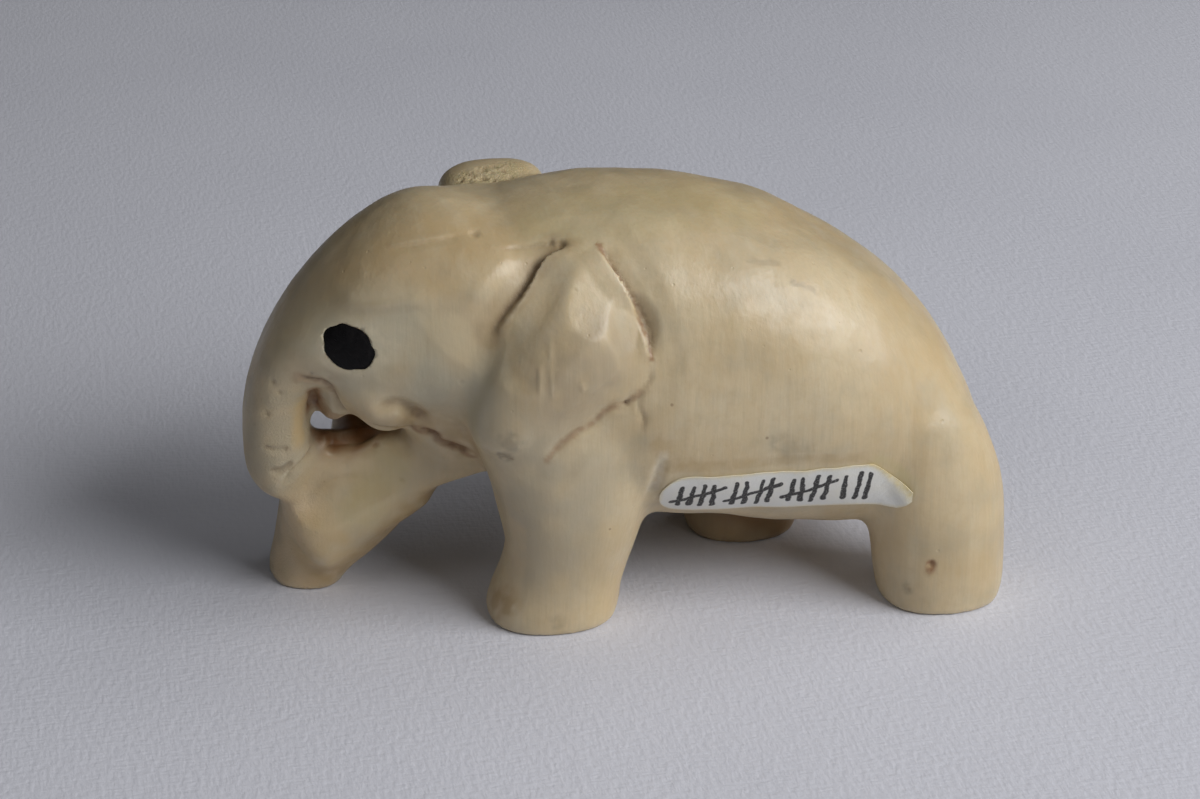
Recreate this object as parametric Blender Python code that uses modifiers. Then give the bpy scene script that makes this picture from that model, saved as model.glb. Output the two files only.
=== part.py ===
"""A small carved bone elephant, walking, with two black eye plugs and a paper label on its left flank.

The body is one piece of bone. Its masses are lofts merged into one skin, which is then cut with the
ear grooves and the eye sockets. The elephant faces -X, its left side is towards -Y and +Z is up.
"""

import math

import bmesh
import bpy
import numpy as np
from mathutils import Matrix, Vector
from mathutils.bvhtree import BVHTree

MM = 0.001

# Overall size of the carving.
BODY_LENGTH = 70.2 * MM
BODY_WIDTH = 28.8 * MM
BODY_HEIGHT = 38.8 * MM

# The station tables below are drawn on a blank of this many units and stretch with the sizes above.
DRAWN_LENGTH, DRAWN_WIDTH, DRAWN_HEIGHT = 70.2, 28.8, 38.8
DRAWN_MIDDLE = (-0.9, -0.05)

# Skin of the carving.
RING_SIDES = 20
VOXEL = 0.55 * MM
SMOOTH_FACTOR = 0.5
SMOOTH_TURNS = 4
BODY_FACES = 8600
SOLE_HEIGHT = 0.0
SOLE_SNAP = 0.05 * MM

# Eyes: short plugs in blind round sockets.
EYE_DIAMETER = 4.3 * MM
EYE_DOME = 0.35 * MM
EYE_DOME_SHARES = (0.4, 0.6)
EYE_RING_WIDTH = 0.3
EYE_DEPTH = 2.2 * MM
EYE_FLOOR_GAP = 0.3 * MM
EYE_SIDE_GAP = 0.04 * MM
EYE_SIDES = 28
EYE_AT = (-26.2, 28.3)
EYE_TILT = math.radians(14)

# Paper label on the left flank.
LABEL_LENGTH = 22.5 * MM
LABEL_HEIGHT = 5.6 * MM
LABEL_CUT_FROM = 0.82
LABEL_CUT_TO = -0.4
LABEL_THICK = 0.25 * MM
LABEL_GAP = 0.06 * MM
LABEL_START = (0.4, 13.4)
LABEL_RISE = math.radians(0.4)
LABEL_STEP = 0.9 * MM
LABEL_TIP = 0.02

# Each station is (x, z) of the upper or front point, (x, z) of the lower or rear point, the y of the
# middle, the half width, and the power of the rounded section: 2 is an ellipse, more is squarer.
TORSO = (
    ((-16.0, 37.6), (-15.0, 13.5), 0.0, 8.6, 2.3),
    ((-11.0, 38.8), (-11.0, 10.5), 0.0, 11.4, 2.4),
    ((-5.0, 39.4), (-5.0, 8.6), 0.0, 13.2, 2.5),
    ((2.0, 39.2), (2.0, 8.0), 0.0, 14.0, 2.5),
    ((9.0, 37.8), (9.0, 7.5), 0.0, 14.3, 2.4),
    ((15.8, 34.8), (15.3, 5.9), 0.0, 14.2, 2.3),
    ((21.6, 31.1), (20.3, 5.7), 0.0, 13.6, 2.3),
    ((26.7, 26.4), (24.0, 6.4), 0.0, 12.5, 2.2),
    ((30.5, 20.0), (27.0, 8.2), 0.0, 10.8, 2.2),
    ((32.4, 13.6), (29.5, 8.6), -0.5, 8.6, 2.2),
)
HEAD = (
    ((-8.0, 37.6), (-8.0, 17.5), 0.0, 11.8, 2.3),
    ((-12.0, 38.3), (-12.0, 17.8), 0.0, 11.6, 2.3),
    ((-17.0, 39.2), (-16.5, 18.4), 0.0, 10.6, 2.2),
    ((-20.8, 39.1), (-20.3, 19.4), 0.0, 9.6, 2.2),
    ((-24.9, 36.6), (-23.4, 19.8), 0.0, 8.8, 2.3),
    ((-28.7, 32.9), (-25.4, 21.2), 0.0, 7.8, 2.3),
    ((-31.5, 29.3), (-27.4, 22.4), 0.0, 6.4, 2.3),
    ((-33.7, 25.4), (-28.9, 22.4), 0.0, 5.2, 2.4),
    ((-34.9, 21.5), (-29.3, 20.2), 0.0, 4.5, 2.6),
    ((-35.3, 17.5), (-29.3, 17.0), 0.0, 4.1, 2.6),
    ((-35.3, 14.2), (-29.2, 12.6), 0.2, 3.9, 2.5),
    ((-34.2, 11.4), (-29.2, 9.8), 0.8, 3.6, 2.4),
)
MOUTH = (
    ((-27.4, 25.0), (-22.5, 23.6), -1.2, 4.6, 2.2),
    ((-28.9, 22.6), (-24.6, 21.6), -1.3, 3.8, 2.2),
    ((-28.5, 20.5), (-25.8, 20.0), -1.4, 2.6, 2.2),
    ((-28.0, 18.7), (-26.9, 18.4), -1.5, 1.2, 2.0),
)
CHEEK = (
    ((-29.0, 25.0), (-18.5, 25.0), -3.2, 4.4, 2.2),
    ((-27.6, 22.6), (-19.0, 22.4), -3.3, 4.4, 2.2),
    ((-26.0, 20.8), (-19.8, 20.6), -3.3, 4.0, 2.2),
    ((-24.8, 19.3), (-20.6, 19.3), -3.0, 3.1, 2.2),
    ((-23.8, 18.1), (-21.6, 18.1), -2.7, 1.8, 2.0),
)
THROAT = (
    ((-25.4, 23.0), (-17.0, 23.0), 4.6, 3.2, 2.2),
    ((-26.2, 17.8), (-16.0, 17.0), 5.4, 2.9, 2.2),
    ((-28.6, 12.5), (-17.0, 11.5), 5.8, 3.2, 2.2),
)
NEAR_THROAT = (
    ((-22.0, 22.8), (-13.0, 23.0), -2.4, 4.4, 2.2),
    ((-21.6, 19.8), (-12.6, 19.4), -2.0, 3.7, 2.2),
    ((-20.6, 16.9), (-12.0, 16.4), -1.4, 3.5, 2.2),
    ((-19.0, 14.0), (-11.6, 13.4), -0.6, 3.4, 2.2),
)
FORELEG_RIM = (
    ((-12.6, 15.4), (-11.0, 12.4), 0.4, 4.2, 2.2),
    ((-16.6, 16.2), (-14.2, 11.9), 0.0, 3.8, 2.2),
    ((-20.4, 17.4), (-17.4, 10.2), -0.2, 3.2, 2.2),
    ((-24.2, 16.6), (-20.0, 7.6), 0.2, 3.0, 2.2),
    ((-27.8, 17.2), (-23.2, 6.4), 0.4, 3.3, 2.2),
    ((-31.4, 16.0), (-25.6, 4.6), 0.8, 3.6, 2.2),
    ((-32.2, 11.0), (-27.0, 2.8), 1.5, 3.8, 2.2),
    ((-32.2, 7.0), (-28.0, 0.8), 2.4, 3.4, 2.2),
)
CHEST = (
    ((-20.5, 24.0), (-6.0, 25.0), 0.5, 8.0, 2.3),
    ((-19.5, 19.0), (-5.0, 20.0), 1.0, 7.0, 2.3),
    ((-18.0, 15.0), (-4.0, 15.0), 1.6, 7.0, 2.3),
    ((-14.6, 12.6), (-4.0, 11.6), 2.2, 6.4, 2.2),
)
NEAR_FRONT_LEG = (
    ((-16.5, 23.0), (2.0, 24.0), -6.6, 6.8, 2.2),
    ((-15.8, 18.0), (2.0, 18.5), -7.1, 6.4, 2.2),
    ((-13.6, 13.0), (1.0, 13.2), -6.8, 6.1, 2.2),
    ((-12.5, 9.0), (0.0, 9.0), -6.2, 5.9, 2.2),
    ((-12.9, 5.5), (-1.2, 5.5), -5.7, 5.8, 2.2),
    ((-14.0, 2.8), (-2.0, 2.6), -5.5, 5.8, 2.3),
    ((-14.8, 0.7), (-2.2, 0.7), -5.5, 5.7, 2.4),
    ((-14.0, -1.2), (-3.0, -1.2), -5.5, 5.2, 2.4),
    ((-13.6, -3.0), (-3.4, -3.0), -5.5, 5.0, 2.4),
)
NEAR_REAR_LEG = (
    ((15.5, 22.5), (28.6, 21.5), -6.4, 6.6, 2.2),
    ((18.3, 15.0), (31.8, 15.4), -7.2, 6.3, 2.2),
    ((20.0, 10.0), (33.3, 10.4), -7.6, 6.0, 2.2),
    ((20.6, 6.0), (33.4, 6.0), -7.8, 5.8, 2.2),
    ((20.9, 2.6), (33.4, 2.6), -8.0, 5.8, 2.3),
    ((21.4, 0.7), (33.0, 0.7), -8.1, 5.5, 2.4),
    ((22.2, -1.2), (32.4, -1.2), -8.1, 5.0, 2.4),
    ((22.6, -3.0), (32.0, -3.0), -8.1, 4.8, 2.4),
)
FAR_FRONT_LEG = (
    ((-10.0, 18.0), (-6.0, 11.0), 3.2, 6.2, 2.2),
    ((-16.0, 15.4), (-13.0, 12.4), 4.0, 6.0, 2.2),
    ((-21.5, 14.2), (-18.6, 9.4), 4.4, 6.0, 2.3),
    ((-26.6, 14.0), (-21.4, 5.5), 4.3, 6.1, 2.3),
    ((-31.2, 12.6), (-24.4, 2.7), 4.3, 6.0, 2.3),
    ((-32.2, 7.4), (-26.4, 0.4), 5.1, 5.3, 2.2),
    ((-32.6, 3.0), (-27.2, -1.6), 5.9, 4.6, 2.3),
    ((-33.4, 0.2), (-28.0, -3.4), 6.2, 4.2, 2.4),
    ((-33.4, -2.6), (-28.6, -5.0), 6.2, 4.0, 2.2),
)
FAR_REAR_LEG = (
    ((11.0, 18.5), (27.0, 18.0), 6.8, 6.6, 2.2),
    ((9.0, 12.0), (22.5, 12.0), 7.8, 5.9, 2.2),
    ((7.2, 7.0), (19.6, 7.0), 8.3, 5.5, 2.2),
    ((6.6, 3.0), (18.4, 3.0), 8.5, 5.4, 2.2),
    ((6.6, 0.8), (17.8, 0.8), 8.5, 5.1, 2.3),
    ((7.2, -1.2), (17.0, -1.2), 8.5, 4.7, 2.3),
    ((7.6, -3.0), (16.6, -3.0), 8.5, 4.5, 2.3),
)
NEAR_EAR = (
    ((-7.4, 37.0), (-4.6, 36.8), -7.8, 1.6, 2.2),
    ((-8.7, 34.8), (-3.6, 34.6), -8.8, 3.0, 2.3),
    ((-10.8, 32.0), (-2.7, 32.0), -9.4, 4.2, 2.5),
    ((-12.9, 29.4), (-1.8, 29.6), -9.7, 4.8, 2.5),
    ((-14.8, 26.8), (-0.9, 27.2), -9.5, 5.1, 2.4),
    ((-16.0, 24.0), (-1.0, 25.2), -9.2, 5.2, 2.3),
    ((-16.4, 21.0), (-5.0, 22.2), -8.6, 5.2, 2.3),
    ((-16.0, 17.6), (-9.4, 18.8), -8.0, 5.0, 2.3),
)
FAR_EAR = (
    ((-15.2, 37.8), (-7.4, 38.0), 10.4, 2.3, 2.4),
    ((-17.2, 35.2), (-5.8, 35.6), 10.2, 3.4, 2.5),
    ((-18.2, 32.0), (-5.0, 32.4), 9.8, 4.3, 2.5),
    ((-18.8, 28.4), (-4.2, 28.6), 9.7, 5.0, 2.4),
    ((-19.8, 24.4), (-4.6, 24.8), 9.3, 5.2, 2.3),
    ((-19.8, 20.6), (-9.0, 21.6), 8.6, 5.2, 2.3),
    ((-18.4, 17.0), (-12.6, 18.2), 8.0, 4.6, 2.3),
)
MASSES = (
    TORSO,
    HEAD,
    MOUTH,
    CHEEK,
    THROAT,
    NEAR_THROAT,
    FORELEG_RIM,
    CHEST,
    NEAR_FRONT_LEG,
    NEAR_REAR_LEG,
    FAR_FRONT_LEG,
    FAR_REAR_LEG,
    NEAR_EAR,
    FAR_EAR,
)

# Each groove is its side (-1 left, 1 right), depth, half width, and the (x, z) points it runs through.
GROOVES = (
    (-1, 1.0 * MM, 1.3 * MM, ((-8.8, 36.2), (-10.4, 34.2), (-12.8, 31.6), (-15.0, 29.0))),
    (-1, 0.7 * MM, 0.7 * MM, ((-3.8, 36.2), (-2.8, 34.0), (-1.8, 31.2), (-0.5, 27.6), (-0.3, 25.6))),
    (-1, 0.6 * MM, 0.7 * MM, ((-1.4, 24.6), (-4.3, 22.7), (-7.3, 20.6), (-9.7, 18.6))),
    (1, 1.1 * MM, 1.2 * MM, ((-16.6, 36.2), (-17.8, 33.8), (-19.0, 31.2), (-20.0, 28.6))),
    (1, 1.0 * MM, 0.9 * MM, ((-5.6, 36.4), (-4.6, 33.4), (-3.6, 29.2), (-3.4, 26.0))),
    (1, 1.0 * MM, 0.9 * MM, ((-4.2, 23.6), (-8.6, 21.0), (-12.8, 18.0))),
)


def remove_startup_objects():
    for item in list(bpy.data.objects):
        bpy.data.objects.remove(item, do_unlink=True)


def new_collection(name):
    collection = bpy.data.collections.new(name)
    bpy.context.scene.collection.children.link(collection)
    return collection


def new_object(name, mesh, collection):
    item = bpy.data.objects.new(name, mesh)
    collection.objects.link(item)
    return item


def mesh_from(bm, name):
    mesh = bpy.data.meshes.new(name)
    bm.to_mesh(mesh)
    bm.free()
    return mesh


def principled(name, colour, roughness):
    material = bpy.data.materials.new(name)
    material.use_nodes = True
    shader = material.node_tree.nodes["Principled BSDF"]
    shader.inputs["Base Color"].default_value = (*colour, 1.0)
    shader.inputs["Roughness"].default_value = roughness
    shader.inputs["Metallic"].default_value = 0.0
    return material


def drawn(x, y, z):
    """A point of the blank, stretched to the size of the carving."""
    return Vector(
        (
            (x - DRAWN_MIDDLE[0]) * BODY_LENGTH / DRAWN_LENGTH,
            (y - DRAWN_MIDDLE[1]) * BODY_WIDTH / DRAWN_WIDTH,
            z * BODY_HEIGHT / DRAWN_HEIGHT,
        )
    )


def squarer(value, power):
    return math.copysign(abs(value) ** (2.0 / power), value)


def add_ring(bm, station):
    """One rounded section, as its vertices and edges."""
    (top_x, top_z), (low_x, low_z), y, half_width, power = station
    ring = bmesh.ops.create_circle(bm, cap_ends=False, radius=1.0, segments=RING_SIDES)["verts"]
    for vert in ring:
        up = squarer(vert.co.x, power)
        out = squarer(vert.co.y, power)
        x = (top_x + low_x + (top_x - low_x) * up) / 2
        z = (top_z + low_z + (top_z - low_z) * up) / 2
        vert.co = drawn(x, y + half_width * out, z)
    return list({edge for vert in ring for edge in vert.link_edges})


def add_loft(bm, stations):
    """A closed loft through the stations."""
    rings = [add_ring(bm, station) for station in stations]
    ends = rings[0], rings[-1]
    for one, other in zip(rings, rings[1:]):
        bmesh.ops.bridge_loops(bm, edges=one + other)
    for end in ends:
        bmesh.ops.edgeloop_fill(bm, edges=end)


def merged_skin(masses):
    """All the lofts as one closed skin, smoothed where they meet."""
    bm = bmesh.new()
    for stations in masses:
        add_loft(bm, stations)
    bmesh.ops.recalc_face_normals(bm, faces=bm.faces)
    rough = new_object("masses", mesh_from(bm, "masses"), bpy.context.scene.collection)
    rounding = rough.modifiers.new("rounding", "SUBSURF")
    rounding.levels = rounding.render_levels = 2
    merging = rough.modifiers.new("merging", "REMESH")
    merging.mode = "VOXEL"
    merging.voxel_size = VOXEL
    easing = rough.modifiers.new("easing", "SMOOTH")
    easing.factor = SMOOTH_FACTOR
    easing.iterations = SMOOTH_TURNS
    skin = evaluated_mesh(rough, "skin")
    bpy.data.objects.remove(rough, do_unlink=True)
    return skin


def evaluated_mesh(item, name):
    graph = bpy.context.evaluated_depsgraph_get()
    mesh = bpy.data.meshes.new_from_object(item.evaluated_get(graph))
    mesh.name = name
    return mesh


def distance_along(points, path):
    """How far each (x, z) point is from the path, and where along the path its nearest point is."""
    nearest = np.full(len(points), np.inf)
    along = np.zeros(len(points))
    spans = [np.linalg.norm(path[i + 1] - path[i]) for i in range(len(path) - 1)]
    done = 0.0
    for i, span in enumerate(spans):
        step = path[i + 1] - path[i]
        share = np.clip(((points - path[i]) @ step) / span**2, 0.0, 1.0)
        away = np.linalg.norm(points - path[i] - share[:, None] * step, axis=1)
        closer = away < nearest
        nearest[closer] = away[closer]
        along[closer] = (done + share[closer] * span) / sum(spans)
        done += span
    return nearest, along


def cut_grooves(mesh, grooves):
    """Sinks the skin along each groove, fading at the groove's ends."""
    count = len(mesh.vertices)
    points = np.empty(count * 3)
    normals = np.empty(count * 3)
    mesh.vertices.foreach_get("co", points)
    mesh.vertices.foreach_get("normal", normals)
    points = points.reshape(-1, 3)
    normals = normals.reshape(-1, 3)
    sink = np.zeros(count)
    for side, depth, half_width, path in grooves:
        line = np.array([drawn(x, 0.0, z) for x, z in path])[:, [0, 2]]
        away, along = distance_along(points[:, [0, 2]], line)
        fade = np.clip(np.minimum(along, 1.0 - along) * 6.0 + 0.3, 0.0, 1.0)
        here = depth * fade * np.exp(-((away / half_width) ** 2))
        sink = np.where(points[:, 1] * side > 0, np.maximum(sink, here), sink)
    points = points - normals * sink[:, None]
    mesh.vertices.foreach_set("co", points.reshape(-1))
    mesh.update()


def flatten_soles(mesh):
    """Cuts the feet off flat at the ground."""
    bm = bmesh.new()
    bm.from_mesh(mesh)
    for vert in bm.verts:
        if abs(vert.co.z - SOLE_HEIGHT) < SOLE_SNAP:
            vert.co.z = SOLE_HEIGHT
    everything = bm.verts[:] + bm.edges[:] + bm.faces[:]
    cut = bmesh.ops.bisect_plane(
        bm,
        geom=everything,
        plane_co=(0, 0, SOLE_HEIGHT),
        plane_no=(0, 0, 1),
        clear_inner=True,
        dist=SOLE_SNAP / 100,
    )
    rim = [item for item in cut["geom_cut"] if isinstance(item, bmesh.types.BMEdge)]
    bmesh.ops.edgeloop_fill(bm, edges=rim)
    bmesh.ops.triangulate(bm, faces=bm.faces)
    bmesh.ops.recalc_face_normals(bm, faces=bm.faces)
    bm.to_mesh(mesh)
    bm.free()


def thinned(mesh, faces):
    """The same skin with fewer triangles."""
    dense = new_object("dense", mesh, bpy.context.scene.collection)
    easing = dense.modifiers.new("easing", "SMOOTH")
    easing.factor = SMOOTH_FACTOR
    easing.iterations = SMOOTH_TURNS
    fewer = dense.modifiers.new("fewer", "DECIMATE")
    fewer.ratio = min(1.0, faces / max(1, sum(len(face.vertices) - 2 for face in mesh.polygons)))
    fewer.use_collapse_triangulate = True
    skin = evaluated_mesh(dense, "thinned_skin")
    bpy.data.objects.remove(dense, do_unlink=True)
    return skin


def skin_tree(mesh):
    return BVHTree.FromPolygons(
        [vert.co.copy() for vert in mesh.vertices], [list(face.vertices) for face in mesh.polygons]
    )


def eye_frame(tree, side):
    """The eye's place on the skin: X and Y across the eye, Z out of the head."""
    x, z = EYE_AT
    start = drawn(x, side * DRAWN_WIDTH, z)
    hit, _, _, _ = tree.ray_cast(start, Vector((0, -side, 0)))
    out = Vector((-math.sin(EYE_TILT), side * math.cos(EYE_TILT), 0)).normalized()
    up = Vector((0, 0, 1))
    across = up.cross(out)
    turn = Matrix((across, up, out)).transposed().to_4x4()
    return Matrix.Translation(hit) @ turn


def socket_cutter(name, frame, collection):
    """A round cutter as deep as the plug and its floor gap."""
    bm = bmesh.new()
    depth = EYE_DEPTH + EYE_FLOOR_GAP + EYE_DIAMETER
    radius = EYE_DIAMETER / 2 + EYE_SIDE_GAP
    middle = Matrix.Translation((0, 0, EYE_DIAMETER - depth / 2))
    bmesh.ops.create_cone(
        bm,
        cap_ends=True,
        segments=EYE_SIDES,
        radius1=radius,
        radius2=radius,
        depth=depth,
        matrix=frame @ middle,
    )
    cutter = new_object(name, mesh_from(bm, name), collection)
    cutter.hide_render = True
    cutter.display_type = "WIRE"
    return cutter


def eye_plug(name, frame, material, collection):
    """A black plug with a slightly domed face."""
    bm = bmesh.new()
    radius = EYE_DIAMETER / 2
    bmesh.ops.create_cone(
        bm,
        cap_ends=True,
        segments=EYE_SIDES,
        radius1=radius,
        radius2=radius,
        depth=EYE_DEPTH,
        matrix=Matrix.Translation((0, 0, -EYE_DEPTH / 2)),
    )
    face = max(bm.faces, key=lambda item: item.calc_center_median().z)
    for share in EYE_DOME_SHARES:
        bmesh.ops.inset_region(bm, faces=[face], thickness=radius * EYE_RING_WIDTH)
        bmesh.ops.translate(bm, verts=face.verts[:], vec=(0, 0, EYE_DOME * share))
    bmesh.ops.transform(bm, matrix=frame, verts=bm.verts)
    plug = new_object(name, mesh_from(bm, name), collection)
    plug.data.materials.append(material)
    return plug


def label_edges(along):
    """Lower and upper edge of the label at a point along it, as shares of its half height.

    The front end is round and the upper rear corner is cut off."""
    round_end = LABEL_HEIGHT / 2
    short = max(0.0, 1.0 - along * LABEL_LENGTH / round_end)
    share = math.sqrt(1.0 - short**2)
    cut = max(0.0, (along - LABEL_CUT_FROM) / (1.0 - LABEL_CUT_FROM))
    return -share, share + (LABEL_CUT_TO - 1.0) * cut


def paper_label(tree, material, collection):
    """A strip of paper that follows the flank."""
    columns = round(LABEL_LENGTH / LABEL_STEP)
    rows = round(LABEL_HEIGHT / LABEL_STEP)
    start = drawn(LABEL_START[0], 0, LABEL_START[1])
    bm = bmesh.new()
    inner, outer = [], []
    for column in range(columns + 1):
        along = LABEL_TIP + (1.0 - LABEL_TIP) * column / columns
        lower, upper = label_edges(along)
        for row in range(rows + 1):
            high = (lower + (upper - lower) * row / rows) * LABEL_HEIGHT / 2
            x = start.x + along * LABEL_LENGTH * math.cos(LABEL_RISE)
            z = start.z + along * LABEL_LENGTH * math.sin(LABEL_RISE) + high
            point, normal, _, _ = tree.ray_cast(Vector((x, -BODY_WIDTH, z)), Vector((0, 1, 0)))
            inner.append(bm.verts.new(point + normal * LABEL_GAP))
            outer.append(bm.verts.new(point + normal * (LABEL_GAP + LABEL_THICK)))
    for column in range(columns):
        for row in range(rows):
            a = column * (rows + 1) + row
            b = a + rows + 1
            bm.faces.new((inner[a], inner[a + 1], inner[b + 1], inner[b]))
            bm.faces.new((outer[a], outer[b], outer[b + 1], outer[a + 1]))
    bmesh.ops.bridge_loops(bm, edges=[edge for edge in bm.edges if edge.is_boundary])
    bmesh.ops.triangulate(bm, faces=bm.faces)
    bmesh.ops.recalc_face_normals(bm, faces=bm.faces)
    label = new_object("paper_label", mesh_from(bm, "paper_label"), collection)
    label.data.materials.append(material)
    return label


def cut_sockets(body, cutters):
    for cutter in cutters:
        socket = body.modifiers.new("socket", "BOOLEAN")
        socket.operation = "DIFFERENCE"
        socket.solver = "EXACT"
        socket.object = cutter


def build():
    remove_startup_objects()
    parts = new_collection("carved_elephant")
    guides = new_collection("cutters")
    bone = principled("bone", (0.72, 0.63, 0.46), 0.42)
    black = principled("black_inlay", (0.012, 0.011, 0.011), 0.2)
    paper = principled("label_paper", (0.86, 0.84, 0.76), 0.8)

    skin = merged_skin(MASSES)
    cut_grooves(skin, GROOVES)
    skin = thinned(skin, BODY_FACES)
    flatten_soles(skin)
    body = new_object("carved_body", skin, parts)
    body.data.materials.clear()
    body.data.materials.append(bone)

    tree = skin_tree(skin)
    frames = {"left": eye_frame(tree, -1), "right": eye_frame(tree, 1)}
    cutters = [socket_cutter(f"{side}_socket_cutter", frame, guides) for side, frame in frames.items()]
    cut_sockets(body, cutters)
    for side, frame in frames.items():
        eye_plug(f"{side}_eye_inlay", frame, black, parts)
    paper_label(tree, paper, parts)


build()
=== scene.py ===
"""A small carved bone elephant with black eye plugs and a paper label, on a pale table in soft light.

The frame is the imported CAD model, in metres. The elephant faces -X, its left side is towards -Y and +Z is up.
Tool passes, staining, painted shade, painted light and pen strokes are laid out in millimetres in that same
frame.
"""

import logging
import math
from dataclasses import dataclass, field
from enum import Enum

import bmesh
import bpy
import numpy as np
from mathutils import Matrix, Vector
from mathutils.bvhtree import BVHTree


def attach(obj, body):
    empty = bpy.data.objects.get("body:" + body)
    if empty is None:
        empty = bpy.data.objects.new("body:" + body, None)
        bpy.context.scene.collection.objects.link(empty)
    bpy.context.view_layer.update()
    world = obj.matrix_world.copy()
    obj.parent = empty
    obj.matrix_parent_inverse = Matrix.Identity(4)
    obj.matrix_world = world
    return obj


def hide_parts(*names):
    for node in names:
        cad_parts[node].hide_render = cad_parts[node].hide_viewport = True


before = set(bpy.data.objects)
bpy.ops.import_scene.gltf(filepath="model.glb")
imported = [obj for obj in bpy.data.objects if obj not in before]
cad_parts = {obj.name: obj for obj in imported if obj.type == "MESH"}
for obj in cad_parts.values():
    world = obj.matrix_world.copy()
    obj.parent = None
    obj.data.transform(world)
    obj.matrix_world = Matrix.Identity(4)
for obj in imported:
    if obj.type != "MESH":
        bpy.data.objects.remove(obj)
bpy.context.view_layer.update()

MM = 0.001
LOG = logging.getLogger("elephant")

# How much of a point's height over a path is left out of its distance from the path.
FLATTENING = 0.7
# How flat the middle of a levelled band and of a filed flat is before it runs out at its edge.
LEVEL_HOLD = 1.6
SHAVE_HOLD = 1.4

Point = tuple[float, float, float]
Path = tuple[Point, ...]
Colour = tuple[float, float, float]


class Side(Enum):
    """The two sides of the elephant, as the sign of Y."""

    LEFT = -1
    RIGHT = 1


class Cut(Enum):
    """How the floor of a tool pass is shaped across its width."""

    KNIFE = "knife"
    GOUGE = "gouge"
    RIDGE = "ridge"


@dataclass(frozen=True)
class Stroke:
    """One pass of a tool along a path on the skin.

    The two widths are to the left and the right of the direction of travel, seen from outside.
    """

    cut: Cut
    path: Path
    left: float
    right: float
    depth: float
    fade: float = 0.2
    dirt: float = 0.0


@dataclass(frozen=True)
class Shave:
    """A flat left by a file: what stands above a plane just under the skin is taken down to it."""

    at: Point
    facing: Point
    reach: float
    drop: float = 0.2
    share: float = 0.85


@dataclass(frozen=True)
class Pore:
    """A small open pore or chip in the skin."""

    at: Point
    radius: float
    depth: float
    dark: float = 0.8


@dataclass(frozen=True)
class StainAndShading:
    """A soft patch or line of colour on the skin: most are real staining, some are painted shade, and one is
    painted light.
    """

    path: Path
    radius: float
    colour: Colour
    share: float
    broken: float = 0.4
    grain: float = 2.0


def waves(points: np.ndarray, size: float, seed: int, count: int = 28) -> np.ndarray:
    """A smooth random field made of plane waves.

    Args:
        points: Places in millimetres, one per row.
        size: Length of a typical wave in millimetres.
        seed: Which field of the family.
        count: How many waves are laid over each other.

    Returns:
        One value per point, about -1 to 1.
    """
    draw = np.random.default_rng(seed)
    total = np.zeros(len(points))
    for _ in range(count):
        heading = draw.normal(size=3)
        heading /= np.linalg.norm(heading)
        length = size * draw.uniform(0.7, 1.6)
        total += np.sin(points @ heading * (2 * math.pi / length) + draw.uniform(0, 2 * math.pi))
    return total / math.sqrt(count)


def rounded_path(path: Path, steps: int = 5) -> np.ndarray:
    """The path with its corners rounded by a Catmull-Rom curve.

    Args:
        path: The points that the path runs through.
        steps: How many pieces each stretch is split into.

    Returns:
        The points of the rounded path, one per row.
    """
    places = np.array(path, float)
    if len(places) < 3:
        return places
    padded = np.vstack([2 * places[0] - places[1], places, 2 * places[-1] - places[-2]])
    rounded = []
    for a, b, c, d in zip(padded, padded[1:], padded[2:], padded[3:]):
        for t in np.arange(steps) / steps:
            rounded.append(
                0.5
                * (2 * b + (c - a) * t + (2 * a - 5 * b + 4 * c - d) * t**2 + (3 * b - a - 3 * c + d) * t**3)
            )
    rounded.append(places[-1])
    return np.array(rounded)


@dataclass
class Nearness:
    """How the points near a path lie to it."""

    rows: np.ndarray
    distance: np.ndarray
    along: np.ndarray
    side: np.ndarray


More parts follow.
